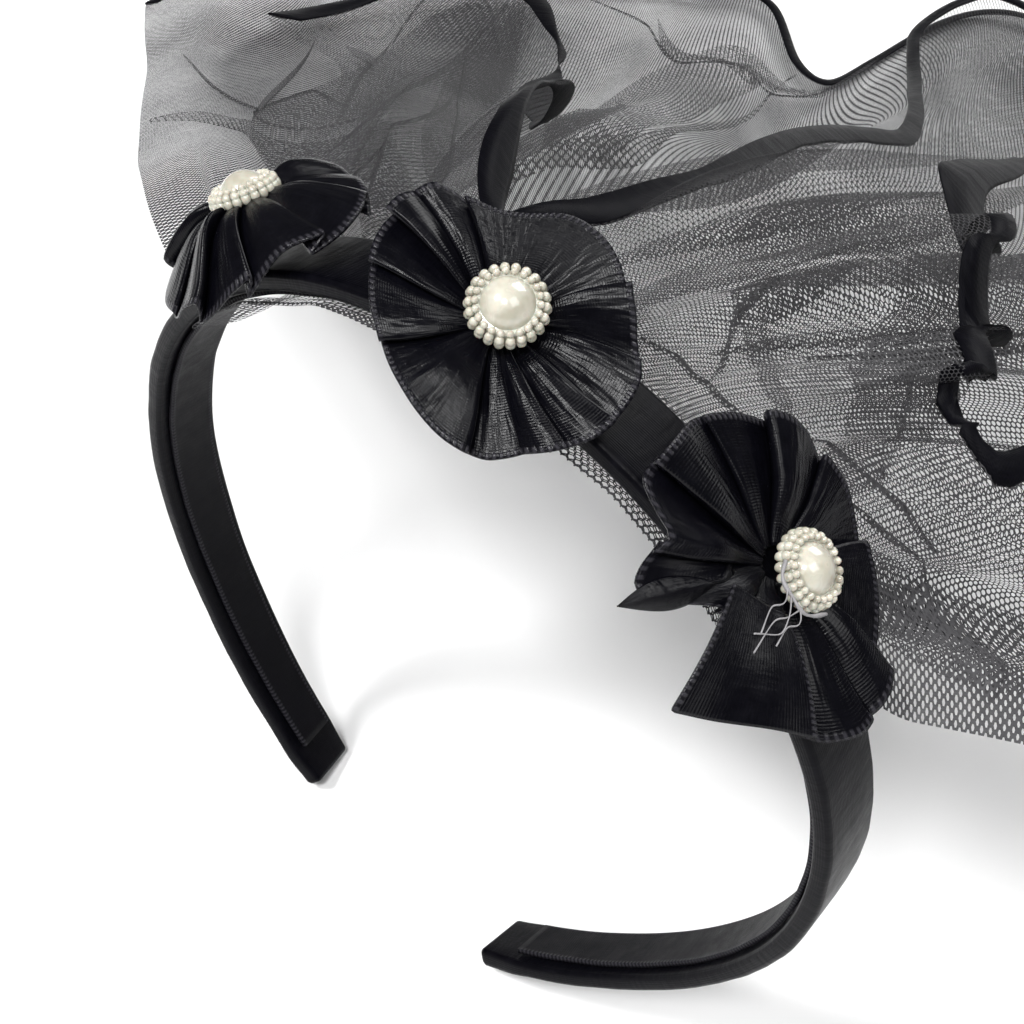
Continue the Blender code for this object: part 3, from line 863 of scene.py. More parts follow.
@dataclass
class Rosette:
    """Ribbon pleated round an eye, with a pearl cabochon on it."""

    name: str
    arc: float
    front_lean: float
    side_lean: float
    shift: tuple
    out: float
    drop: float
    rise: float
    puff: float
    crests: tuple
    rims: tuple
    pearl_shift: tuple
    dome: float = 0.0
    lap: float = 7.0
    radius: float = 17.0
    wall: float = 0.34
    eye: float = 2.2
    ribbon_width: float = 1.5
    pleat_height: float = 2.6
    pleat_steps: int = 10
    valley: float = 0.12
    tuck: float = 2.4
    turn_back: float = 2.8

    def __post_init__(self) -> None:
        """Find the rosette's own directions on the band."""
        spot, along, out, front = LINE.frame(np.array(self.arc * LINE.half_length))
        self.normal = unit(out + math.tan(math.radians(self.front_lean)) * front
                           + math.tan(math.radians(self.side_lean)) * along)
        self.side = unit(along - np.dot(along, self.normal) * self.normal)
        self.face = np.cross(self.side, self.normal)
        centre = spot + self.normal * (LINE.thickness / 2 + self.out * self.radius)
        ahead, along_band = self.shift
        self.centre = centre + self.radius * (self.side * along_band + self.face * ahead)

    def at(self, x: np.ndarray, y: np.ndarray, z: np.ndarray) -> np.ndarray:
        """Places of side, front and height coordinates of the rosette.

        Args:
            x: To the side.
            y: To the front.
            z: Height.

        Returns:
            Places in space.
        """
        x, y, z = np.broadcast_arrays(x, y, z)
        return (self.centre + self.side * x[..., None] + self.face * y[..., None]
                + self.normal * z[..., None])

    def sag(self, y: np.ndarray) -> np.ndarray:
        """Fall of the ribbon in front of the band and its rise behind it.

        Args:
            y: Places to the front.

        Returns:
            Height in millimetres.
        """
        edge = LINE.width / 2 + 0.5
        slope = -self.drop * smooth((y - edge) / (0.53 * self.radius))
        return self.radius * (slope + self.rise * smooth((-y - 3.0) / (0.6 * self.radius)))

    def rim(self, degrees: np.ndarray) -> np.ndarray:
        """Outline radius at angles.

        Args:
            degrees: The angles.

        Returns:
            The radius.
        """
        table = np.array(self.rims)
        steps = np.linspace(0.0, 360.0, len(table))
        return self.radius * np.interp(np.mod(degrees, 360.0), steps, table)

    def pleats(self) -> tuple:
        """Angles, heights and cloth runs across all pleats.

        Returns:
            Angle in degrees, height share and run in millimetres at each column.
        """
        degrees, heights, runs = [], [], []
        run = 0.0
        count = len(self.crests)
        for i, start in enumerate(self.crests):
            stop = self.crests[(i + 1) % count] + (360.0 if i + 1 == count else 0.0)
            spread = stop - start
            lap = min(self.lap, 0.3 * spread)
            tall = 0.85 + 0.3 * math.sin(2.4 * i + self.arc * 40)
            puff = 0.28 + 0.16 * math.sin(1.9 * i + 1.0)
            for k in range(self.pleat_steps + 1):
                t = k / self.pleat_steps
                degrees.append(start + (spread + lap) * t)
                fall = 1.0 - float(smooth(np.array(t * 1.02)))
                lip = 0.10 * math.exp(-(t / 0.05) ** 2)
                bulge = puff * math.sin(math.pi * t)
                heights.append(tall * (fall * (1 - self.valley) + self.valley + bulge + lip))
                runs.append(run + (spread + lap) * t * math.radians(self.radius))
            run = runs[-1]
            next_tall = 0.85 + 0.3 * math.sin(2.4 * ((i + 1) % count) + self.arc * 40)
            for t in (0.35, 0.75):
                degrees.append(stop + lap * (1 - t) * 0.85)
                heights.append(self.valley * tall * (1 - t) + (next_tall * 0.86) * t)
                runs.append(run + self.tuck * t)
            run += self.turn_back
        return np.array(degrees), np.array(heights), np.array(runs)

    def build(self) -> bpy.types.Object:
        """Pleated ribbon disc."""
        degrees, heights, runs = self.pleats()
        shares = np.array([0.0, 0.07, 0.15, 0.25, 0.37, 0.5, 0.63, 0.75, 0.86, 0.95, 1.0])[:, None]
        edge = self.rim(degrees)[None] * (1.0 + 0.03 * (heights[None] - 0.6))
        radius = self.eye + (edge - self.eye) * shares
        angle = np.radians(degrees)[None] + 0.05 * np.sin(3.0 * shares + runs[None] / 14.0)
        grow = 0.25 + 0.75 * smooth(shares * 2.0) - 0.10 * shares
        swell = self.pleat_height * self.puff * grow * heights[None]
        inner = np.exp(-((shares - 0.2) / 0.3) ** 2)
        crinkle = 0.08 * ripple(runs[None] / 1.6, shares * 1.2, self.arc * 9 + 2) * inner
        crinkle = crinkle + 0.12 * ripple(runs[None] / 5.0, shares * 3.0, self.arc * 5 + 1)
        x = radius * np.cos(angle)
        y = radius * np.sin(angle)
        z = 0.5 + swell + crinkle + 0.7 * shares + self.sag(y) + self.dome * (1.0 - shares) ** 0.9
        points = self.at(x, y, z)
        uv = together(runs[None] / 10, shares * self.ribbon_width)
        points = np.concatenate([points, points[:, :1]], axis=1)
        last = uv[:, :1] + np.array([runs[-1] / 10 + 0.05, 0.0])
        uv = np.concatenate([uv, last], axis=1)
        piece = sheet_piece("rosette_" + self.name + "_ribbon", points, uv)
        thicken(piece, self.wall, rounds=1)
        return piece

    def seat(self) -> float:
        """Height of the pearl's base over the rosette's centre."""
        return 1.2 + 0.6 + 0.78 * self.pleat_height * self.puff


ROSETTES = (
    Rosette("left", -0.221, 0.0, 4.0, (0.0, 0.0), 0.012, 0.265, 0.13, 1.25,
            (8.0, 44.0, 75.0, 104.0, 140.0, 182.0, 226.0, 262.0, 300.0, 334.0),
            (1.176, 1.147, 1.029, 0.971, 0.941, 0.971, 0.941, 0.912, 0.912, 0.882, 0.824, 0.824,
             0.824, 0.853, 0.853, 0.824, 0.824, 0.794, 0.794, 0.824, 0.853, 0.912, 1.0,
             1.118, 1.176),
            (0.0, 0.0, 3.9), 7.6),
    Rosette("middle", 0.0, 30.0, 20.0, (0.059, 0.029), 0.276, 0.0, 0.029, 1.0,
            (4.0, 27.0, 45.0, 66.0, 128.0, 164.0, 186.0, 201.0, 220.0, 309.0, 337.0),
            (1.082, 1.071, 1.018, 0.971, 1.0, 0.941, 0.859, 0.806, 0.8, 0.812, 0.871, 0.953,
             1.024, 1.059, 1.047, 0.788, 0.718, 0.729, 0.882, 0.941, 0.959, 0.924, 0.965,
             1.076, 1.082),
            (0.57, -1.32, 0.0)),
    Rosette("right", 0.229, 0.0, 0.0, (-0.088, 0.0), 0.006, 0.176, 0.029, 1.0,
            (8.0, 38.0, 60.0, 95.0, 129.0, 153.0, 184.0, 214.0, 252.0, 297.0, 346.0),
            (1.235, 1.294, 1.265, 1.118, 0.706, 0.618, 0.618, 0.706, 1.294, 1.0, 1.324, 1.235,
             1.206, 1.118, 1.059, 1.018, 0.953, 0.906, 0.882, 0.865, 0.853, 0.906, 1.0,
             1.129, 1.235),
            (2.06, -0.59, 0.0)),
)


@dataclass
class RibbonEnd:
    """Free ribbon ends of the right rosette: a square cut tail and a pointed fold."""

    rosette: Rosette
    tail: tuple = ((-0.231, 0.559, 0.236), (0.167, 0.398, 0.274),
                   (0.892, 0.677, 0.226), (0.113, 1.306, -0.065))
    tail_width: float = 18.6
    wall: float = 0.34
    point_root: float = 8.0
    point_reach: float = 25.6
    point_deg: float = 116.5

    def build_tail(self) -> bpy.types.Object:
        """Square cut end with a slight curl and lengthwise ripples."""
        corners = self.tail_width * np.array(self.tail)
        a = np.linspace(0.0, 1.0, 18)[:, None, None]
        b = np.linspace(0.0, 1.0, 22)[None, :, None]
        start = corners[0] * (1 - b) + corners[1] * b
        end = corners[3] * (1 - b) + corners[2] * b
        flat = start * (1 - a) + end * a
        a, b = a[..., 0], b[..., 0]
        lift = 0.9 * np.sin(math.pi * a) + 0.35 * np.cos(3 * math.pi * b) * a
        curl = 0.5 * (1 - a) * np.exp(-((b - 0.9) / 0.12) ** 2)
        lift = lift + 0.22 * np.cos(9 * b + 1.0) * a * (1 - 0.6 * a) + curl
        points = self.rosette.at(flat[..., 0], flat[..., 1], flat[..., 2] + lift)
        uv = together(1.8 * b, 1.6 * a)
        piece = sheet_piece("ribbon_cut_end", points, uv[..., ::-1])
        thicken(piece, self.wall, rounds=1)
        return piece

    def build_point(self) -> bpy.types.Object:
        """Corner of the ribbon folded to a point beside the tail."""
        a = np.linspace(0.0, 1.0, 14)[:, None]
        b = np.linspace(0.0, 1.0, 10)[None, :]
        root_angle = np.radians(133.0 - 36.0 * b)
        tip = math.radians(self.point_deg)
        x = (self.point_root * np.cos(root_angle) * (1 - a)
             + self.point_reach * math.cos(tip) * a)
        y = (self.point_root * np.sin(root_angle) * (1 - a)
             + self.point_reach * math.sin(tip) * a)
        bow = 3.4 * np.sin(math.pi * a ** 0.85)
        x = x - bow * (b - 0.5) * 2.0 * 0.9
        y = y - bow * (b - 0.5) * 0.5
        z = 1.6 + 1.1 * np.sin(math.pi * b) * np.sin(math.pi * a) + 1.4 * a
        z = z + self.rosette.sag(y) * 0.8
        uv = together(b, 1.9 * a)
        piece = sheet_piece("ribbon_point", self.rosette.at(x, y, z), uv[..., ::-1])
        thicken(piece, self.wall, rounds=1)
        return piece


@dataclass
class Pearl:
    """Half pearl in a skirt of small beads."""

    rosette: Rosette
    radius: float = 4.8
    height: float = 5.1
    beads: int = 22
    rows: tuple = ((0.94, 0.09, 0.19), (0.92, 0.23, 0.175), (0.79, 0.37, 0.14))
    dome_width: float = 0.78
    dome_base: float = 0.24
    skirt_width: float = 0.90
    skirt_height: float = 0.34
    stem_width: float = 0.45
    stem_depth: float = 1.6

    def ball(self, size: float) -> bpy.types.Object:
        """Small bead at the origin, in millimetres.

        Args:
            size: Its radius.

        Returns:
            The bead.
        """
        bpy.ops.object.select_all(action="DESELECT")
        bpy.ops.mesh.primitive_ico_sphere_add(subdivisions=2, radius=size)
        bpy.ops.object.shade_smooth()
        return bpy.context.object

    def dome(self) -> bpy.types.Object:
        """Polished half pearl with its flat base."""
        bpy.ops.object.select_all(action="DESELECT")
        bpy.ops.mesh.primitive_uv_sphere_add(segments=40, ring_count=24, radius=1.0)
        thing = bpy.context.object
        bpy.ops.object.mode_set(mode="EDIT")
        bpy.ops.mesh.select_all(action="SELECT")
        bpy.ops.mesh.bisect(plane_co=(0, 0, 0), plane_no=(0, 0, 1), use_fill=True,
                            clear_inner=True)
        bpy.ops.mesh.select_all(action="SELECT")
        wide, low = self.dome_width * self.radius, self.dome_base * self.height
        bpy.ops.transform.resize(value=(wide, wide, self.height - low))
        bpy.ops.transform.translate(value=(0.0, 0.0, low))
        bpy.ops.object.mode_set(mode="OBJECT")
        bpy.ops.object.shade_smooth()
        return thing

    def skirt(self) -> bpy.types.Object:
        """Fluted base ring that the beads stand on."""
        bpy.ops.object.select_all(action="DESELECT")
        deep = self.skirt_height * self.height
        bpy.ops.mesh.primitive_cylinder_add(vertices=2 * self.beads, depth=deep,
                                            radius=self.skirt_width * self.radius,
                                            location=(0, 0, deep / 2))
        thing = bpy.context.object
        bpy.ops.object.transform_apply(location=True, rotation=True, scale=True)
        top = 0.3 * self.height
        for vert in thing.data.vertices:
            if vert.co.z > top:
                vert.co.x *= 0.90
                vert.co.y *= 0.90
        bpy.ops.object.mode_set(mode="EDIT")
        bpy.ops.mesh.select_all(action="SELECT")
        bpy.ops.mesh.bevel(offset=0.16, segments=2, affect="EDGES")
        bpy.ops.object.mode_set(mode="OBJECT")
        bpy.ops.object.shade_smooth()
        return thing

    def stem(self) -> bpy.types.Object:
        """Blob of glue under the pearl, down into the rosette's eye."""
        bpy.ops.object.select_all(action="DESELECT")
        deep = self.stem_depth + self.rosette.pearl_shift[2]
        bpy.ops.mesh.primitive_cylinder_add(vertices=24, radius=self.stem_width * self.radius,
                                            depth=deep, location=(0, 0, 0.3 - deep / 2))
        bpy.ops.object.transform_apply(location=True, rotation=True, scale=True)
        bpy.ops.object.shade_smooth()
        return bpy.context.object

    def build(self) -> bpy.types.Object:
        """Model the pearl flat, then set it on its rosette."""
        parts = [self.dome(), self.skirt(), self.stem()]
        for reach, level, size in self.rows:
            bead = self.ball(size * self.radius * 0.72)
            for k in range(self.beads):
                angle = 2 * math.pi * k / self.beads
                copy = bead.copy()
                copy.data = bead.data.copy()
                bpy.context.scene.collection.objects.link(copy)
                copy.location = (reach * self.radius * math.cos(angle),
                                 reach * self.radius * math.sin(angle), level * self.height)
                copy.scale = (1.0, 1.0, 1.3)
                parts.append(copy)
            bpy.data.objects.remove(bead, do_unlink=True)
        select_only(*parts[::-1])
        bpy.ops.object.join()
        thing = bpy.context.object
        bpy.ops.object.transform_apply(location=True, rotation=True, scale=True)
        thing.name = thing.data.name = "pearl_" + self.rosette.name + "_cabochon"
        r = self.rosette
        side, face, up = r.pearl_shift
        base = r.centre + r.side * side + r.face * face + r.normal * (r.seat() + up)
        turn = Matrix([[r.side[i], -r.face[i], r.normal[i], base[i]] for i in range(3)]
                      + [[0, 0, 0, 1]])
        settle = Matrix.Translation(Vector((SETTLE * MM).tolist())) @ Matrix.Scale(MM, 4)
        thing.data.transform(settle @ turn)
        thing.data.update()
        return thing


@dataclass
class GlueStrands:
    """Drawn string of glue round the right pearl and the fibres that hang from it."""

    rosette: Rosette
    loop: tuple = ((-1.6, 3.0, 5.6), (-0.8, 4.7, 5.8), (1.2, 5.9, 6.2),
                   (3.4, 5.9, 6.4), (5.4, 4.6, 6.2), (6.8, 2.0, 5.6))
    fibres: tuple = (
        ((3.6, 5.6, 6.2), (2.6, 8.2, 6.6), (1.6, 10.6, 6.4), (2.4, 14.8, 5.6)),
        ((1.4, 6.0, 6.2), (2.6, 8.6, 6.8), (3.2, 10.8, 6.2), (0.8, 13.4, 5.9)),
        ((0.4, 5.4, 6.0), (1.0, 7.6, 6.7), (0.2, 9.8, 6.5), (1.4, 12.6, 6.0)),
        ((3.0, 5.9, 6.3), (4.2, 7.4, 6.6), (3.4, 9.4, 6.4), (4.0, 11.6, 5.8)))
    string_radius: float = 0.26
    fibre_radius: float = 0.10

    def tube(self, line: tuple, size: float) -> tuple:
        """Make a string along a line of rosette places.

        Args:
            line: Side, front and height of each place.
            size: Radius in millimetres.

        Returns:
            Corners and faces.
        """
        knots = np.arange(len(line), dtype=float)
        t = np.linspace(0, len(line) - 1, 12 * len(line))
        x, y, z = (curve_value(t, knots, column) for column in np.array(line).T)
        y = y + 0.18 * np.sin(3.1 * t + size * 40)
        middle = self.rosette.at(x, y, z)
        run = unit(np.gradient(middle, axis=0))
        first = unit(np.cross(run, self.rosette.normal))
        second = np.cross(run, first)
        turn = np.linspace(0, 2 * math.pi, 7)[:-1]
        girth = size * (0.75 + 0.35 * np.sin(2.3 * t + 1.0) ** 2)[:, None, None]
        rings = middle[:, None] + girth * (np.cos(turn)[None, :, None] * first[:, None]
                                           + np.sin(turn)[None, :, None] * second[:, None])
        faces = grid_faces(*rings.shape[:2], ring=True)
        last = rings.shape[0] * rings.shape[1]
        faces += [[0, 1, 2, 3, 4, 5], list(range(last - 1, last - 7, -1))]
        return rings.reshape(-1, 3), faces

    def build(self) -> bpy.types.Object:
        """All strings as one piece."""
        verts, faces, count = [], [], 0
        for line in (self.loop, *self.fibres):
            size = self.string_radius if line is self.loop else self.fibre_radius
            corners, rims = self.tube(line, size)
            faces += [[k + count for k in rim] for rim in rims]
            verts.append(corners)
            count += len(corners)
        piece = make_piece("glue_strands", np.concatenate(verts), faces)
        turn_outwards(piece)
        return piece


# Veil


@dataclass
class Veil:
    """Folded base surface of both net tiers."""

    gather_half: float = 58.0
    gather_front: float = 10.8
    gather_back: float = 11.5
    fan_deg: float = 60.0
    fall: float = 0.8
    reach_mm: float = 384.0
    billow: float = 21.0
    side_swing: float = 32.0
    left_swing: float = -6.0
    side_dip: float = 17.0
    side_hang: tuple = (4.0, -7.5, -5.5)
    hang_left: float = 1.3
    hang_power: int = 7
    leave_out: float = 4.0
    leave_back: float = 22.0
    leave_dip: float = 17.0
    leave_left: float = 20.0
    leave_right: float = 12.0
    side_tuck: float = 3.6
    net_wall: float = 1.3
    gap: float = 0.3
    lining: float = 1.0
    hem_clear: float = 0.9
    fold_height: float = 4.6
    tier_lift: float = 5.2
    hem: tuple = (
        (-1.0, 0.885, 1.2), (-0.94, 0.935, 1.1), (-0.87, 0.967, 0.85), (-0.75, 0.982, 0.45),
        (-0.63, 0.989, 0.15), (-0.5, 0.991, 0.0), (-0.435, 0.971, 0.0), (-0.4, 0.878, 0.0),
        (-0.37, 0.858, 0.0), (-0.34, 0.91, 0.0), (-0.3, 0.993, 0.0), (-0.17, 1.01, 0.0),
        (0.0, 1.0, 0.0), (0.17, 1.008, 0.0), (0.34, 0.995, 0.0), (0.5, 0.974, 0.0),
        (0.63, 0.958, 0.095), (0.75, 0.943, 0.333), (0.87, 0.927, 0.619), (0.94, 0.896, 0.762),
        (1.0, 0.839, 0.667))

    def __post_init__(self) -> None:
        """Read the hem table."""
        rows = np.array(self.hem)
        self.shares = rows[:, 0]
        self.reaches = self.reach_mm * rows[:, 1]
        self.rises = self.billow * rows[:, 2]
        self.depth = LINE.thickness / 2 + 3 * self.gap + self.lining + self.net_wall * 1.5

    def reach(self, share: np.ndarray) -> np.ndarray:
        """Distance of the lower hem from the origin in plan."""
        return curve_value(np.clip(share, -1.0, 1.0), self.shares, self.reaches)

    def base(self, share: np.ndarray, way: np.ndarray) -> tuple:
        """Base places and the direction in which folds rise.

        Args:
            share: Place along the gathered heading, -1 left to 1 right.
            way: -1 at the front edge, 0 behind the band, 1 at the lower hem.

        Returns:
            Points and lift directions.
        """
        share, way = np.broadcast_arrays(np.asarray(share, float), np.asarray(way, float))
        spot, _, out, front = LINE.frame(self.gather_half * share)
        root = spot - out * self.depth
        side = share ** 6
        back = self.gather_back - self.side_tuck * side
        ahead = back + np.minimum(way, 0.0) * (back + self.gather_front)
        under = root - front * ahead[..., None]
        start = root - front * back[..., None]
        fan = np.radians(self.fan_deg * share)
        reach = self.reach(share)
        end = np.stack([reach * np.sin(fan), reach * np.cos(fan)], axis=-1)
        sign = np.where(share < 0, -1.0, 1.0)
        spread = np.where(share < 0, self.leave_left, self.leave_right) * side
        leave = start[..., :2] + together(sign * (self.leave_out * np.abs(share) + spread),
                                          self.leave_back - self.leave_dip * side)
        arrive = end - 0.25 * (end - start[..., :2])
        swing = np.where(share < 0, self.left_swing, self.side_swing)
        arrive = arrive + together(swing * share * np.abs(share), -self.side_dip * share * share)
        w = np.maximum(way, 0.0)[..., None]
        plan = ((1 - w) ** 3 * start[..., :2] + 3 * w * (1 - w) ** 2 * leave
                + 3 * w * w * (1 - w) * arrive + w ** 3 * end)
        w = np.clip(way, 0.0, 1.0)
        fall = 1.0 - smooth(w / self.fall)
        height = start[..., 2] * fall + self.billow * np.sin(math.pi * w) ** 1.2
        rise = curve_value(np.clip(share, -1.0, 1.0), self.shares, self.rises)
        height = height + np.maximum(rise, 0.0) * smooth(w / 0.7)
        height = height + (self.hem_clear + self.net_wall / 2) * (1.0 - fall)
        behind = np.concatenate([plan, height[..., None]], axis=-1)
        hang = np.where(share < 0, self.hang_left, 1.0) * np.abs(share) ** self.hang_power
        hang = hang * smooth(w / 0.12) * (1.0 - smooth((w - 0.35) / 0.45))
        outward, ahead, down = self.side_hang
        near = np.where(share < 0, 1.0 - smooth((w - 0.2) / 0.3), 1.0)
        behind = behind + hang[..., None] * together(sign * outward * near, ahead, down)
        points = np.where((way <= 0.0)[..., None], under, behind)
        mix = smooth(np.maximum(way, 0.0) / 0.32)[..., None]
        lift = unit(out * (1.0 - mix) + np.array([0.0, 0.0, 1.0]) * mix)
        return points, lift

    def cloth(self, share: np.ndarray, way: np.ndarray) -> np.ndarray:
        """Place on the flat fan of cloth, in centimetres.

        Args:
            share: Place along the heading.
            way: Place from the heading to the hem.

        Returns:
            Two values at each place.
        """
        turn = np.radians(self.fan_deg) * share
        inner = self.gather_half / math.radians(self.fan_deg) / 10
        run = np.where(way > 0, 37.0, 2.2) * way
        return np.stack([(inner + run) * np.sin(turn), (inner + run) * np.cos(turn)], axis=-1)

    def inward(self, share: np.ndarray, way: np.ndarray) -> tuple:
        """Steps of one millimetre to the right hand of a path on the surface.

        Args:
            share: Path along the heading.
            way: Path from the heading to the hem.

        Returns:
            Step in share and in way, and the running length of the path.
        """
        e = 1e-3
        spots = self.base(share, way)[0]
        du = (self.base(share + e, way)[0] - self.base(share - e, way)[0]) / (2 * e)
        dv = (self.base(share, way + e)[0] - self.base(share, way - e)[0]) / (2 * e)
        side = unit(np.cross(unit(np.gradient(spots, axis=0)), unit(np.cross(du, dv))))
        uu, vv, uv = (du * du).sum(-1), (dv * dv).sum(-1), (du * dv).sum(-1)
        wu, wv = (side * du).sum(-1), (side * dv).sum(-1)
        det = uu * vv - uv ** 2
        run = np.concatenate(([0.0], np.cumsum(np.linalg.norm(np.diff(spots, axis=0), axis=1))))
        return (vv * wu - uv * wv) / det, (uu * wv - uv * wu) / det, run

    def path(self, points: np.ndarray, step: float) -> np.ndarray:
        """Even stations on a smooth path through table points.

        Args:
            points: Rows of share, way and further values.
            step: Distance between stations in millimetres.

        Returns:
            Rows of the same values at the stations.
        """
        knots = np.arange(len(points), dtype=float)
        dense = np.linspace(0, len(points) - 1, 60 * len(points))
        fine = np.stack([curve_value(dense, knots, column) for column in points.T], axis=-1)
        spots = self.base(fine[:, 0], fine[:, 1])[0]
        run = np.concatenate(([0.0], np.cumsum(np.linalg.norm(np.diff(spots, axis=0), axis=1))))
        even = np.linspace(0, run[-1], max(int(run[-1] / step), 8))
        return np.stack([np.interp(even, run, column) for column in fine.T], axis=-1)

    def big_wave(self, share: np.ndarray, way: np.ndarray) -> np.ndarray:
        """Broad folds that the solids have too.

        Args:
            share: Place along the gathered heading.
            way: Place from the heading to the hem.

        Returns:
            Height in millimetres.
        """
        grow = smooth(way / 0.35) * (1.0 - 0.8 * smooth((way - 0.6) / 0.4)) * (way > 0)
        total = 0.35 * 1.696
        for waves, height, shift in ((8.0, 1.0, 0.4), (5.0, 0.696, 2.1)):
            bend = 1.3 * np.sin(3 * share)
            total = total + height * np.cos(math.pi * waves * share + shift + bend)
        return grow * self.fold_height * total

    def tucks(self, share: np.ndarray, way: np.ndarray, seed: float) -> tuple:
        """Narrow overlapping folds that fan out from the heading.

        Args:
            share: Cloth coordinate along the heading.
            way: Place from the heading to the hem.
            seed: Picks the pattern.

        Returns:
            Slide along the heading in shares, and height in millimetres.
        """
        grow = smooth((way + 0.05) / 0.25) * (1.0 - 0.55 * smooth((way - 0.75) / 0.25))
        slide = np.zeros_like(share)
        rise = np.zeros_like(share)
        sets = ((7.0, 0.62, 1.6, 0.0), (12.0, 0.7, 1.1, 1.0), (19.0, 0.7, 0.7, 2.0))
        for rate, slip, tall, k in sets:
            bend = 0.9 * ripple(share * 1.3, way * 1.7, seed + k)
            phase = 2 * math.pi * (rate * share / 2 + bend * 0.8)
            gate = smooth(0.45 + 0.75 * ripple(share * 2.4, way * 1.1, seed + 3 + k))
            slide = slide - slip * gate * np.sin(phase) * 2 / (rate * 2 * math.pi) * 1.25
            rise = rise + tall * gate * np.cos(phase)
        free = smooth((1.0 - np.abs(share)) / 0.12)
        return slide * grow * 0.9 * free, rise * grow * free

    def place(self, share: np.ndarray, way: np.ndarray, lift: np.ndarray,
              seed: float) -> np.ndarray:
        """Folded points over the lower tier's base.

        Args:
            share: Place along the gathered heading.
            way: Place from the heading to the hem.
            lift: Rise over the base in millimetres.
            seed: Picks the pattern of the narrow folds.

        Returns:
            Points in space.
        """
        slide, rise = self.tucks(share, way, seed)
        moved = np.clip(share + slide, -1.03, 1.03)
        inner = np.maximum(way, 0.0)
        spots, up = self.base(moved, way)
        wave = self.big_wave(moved, inner)
        height = wave + rise + lift
        spots = spots + up * height[..., None]
        spots[..., 2] = np.where(way > 0.3, np.maximum(spots[..., 2], 0.9), spots[..., 2])
        return spots


VEIL = Veil()
SLIM_FOLD, WIDE_FOLD, DARK_FOLD = 1.5, 4.5, (6.0, 9.0)  # fold widths in millimetres


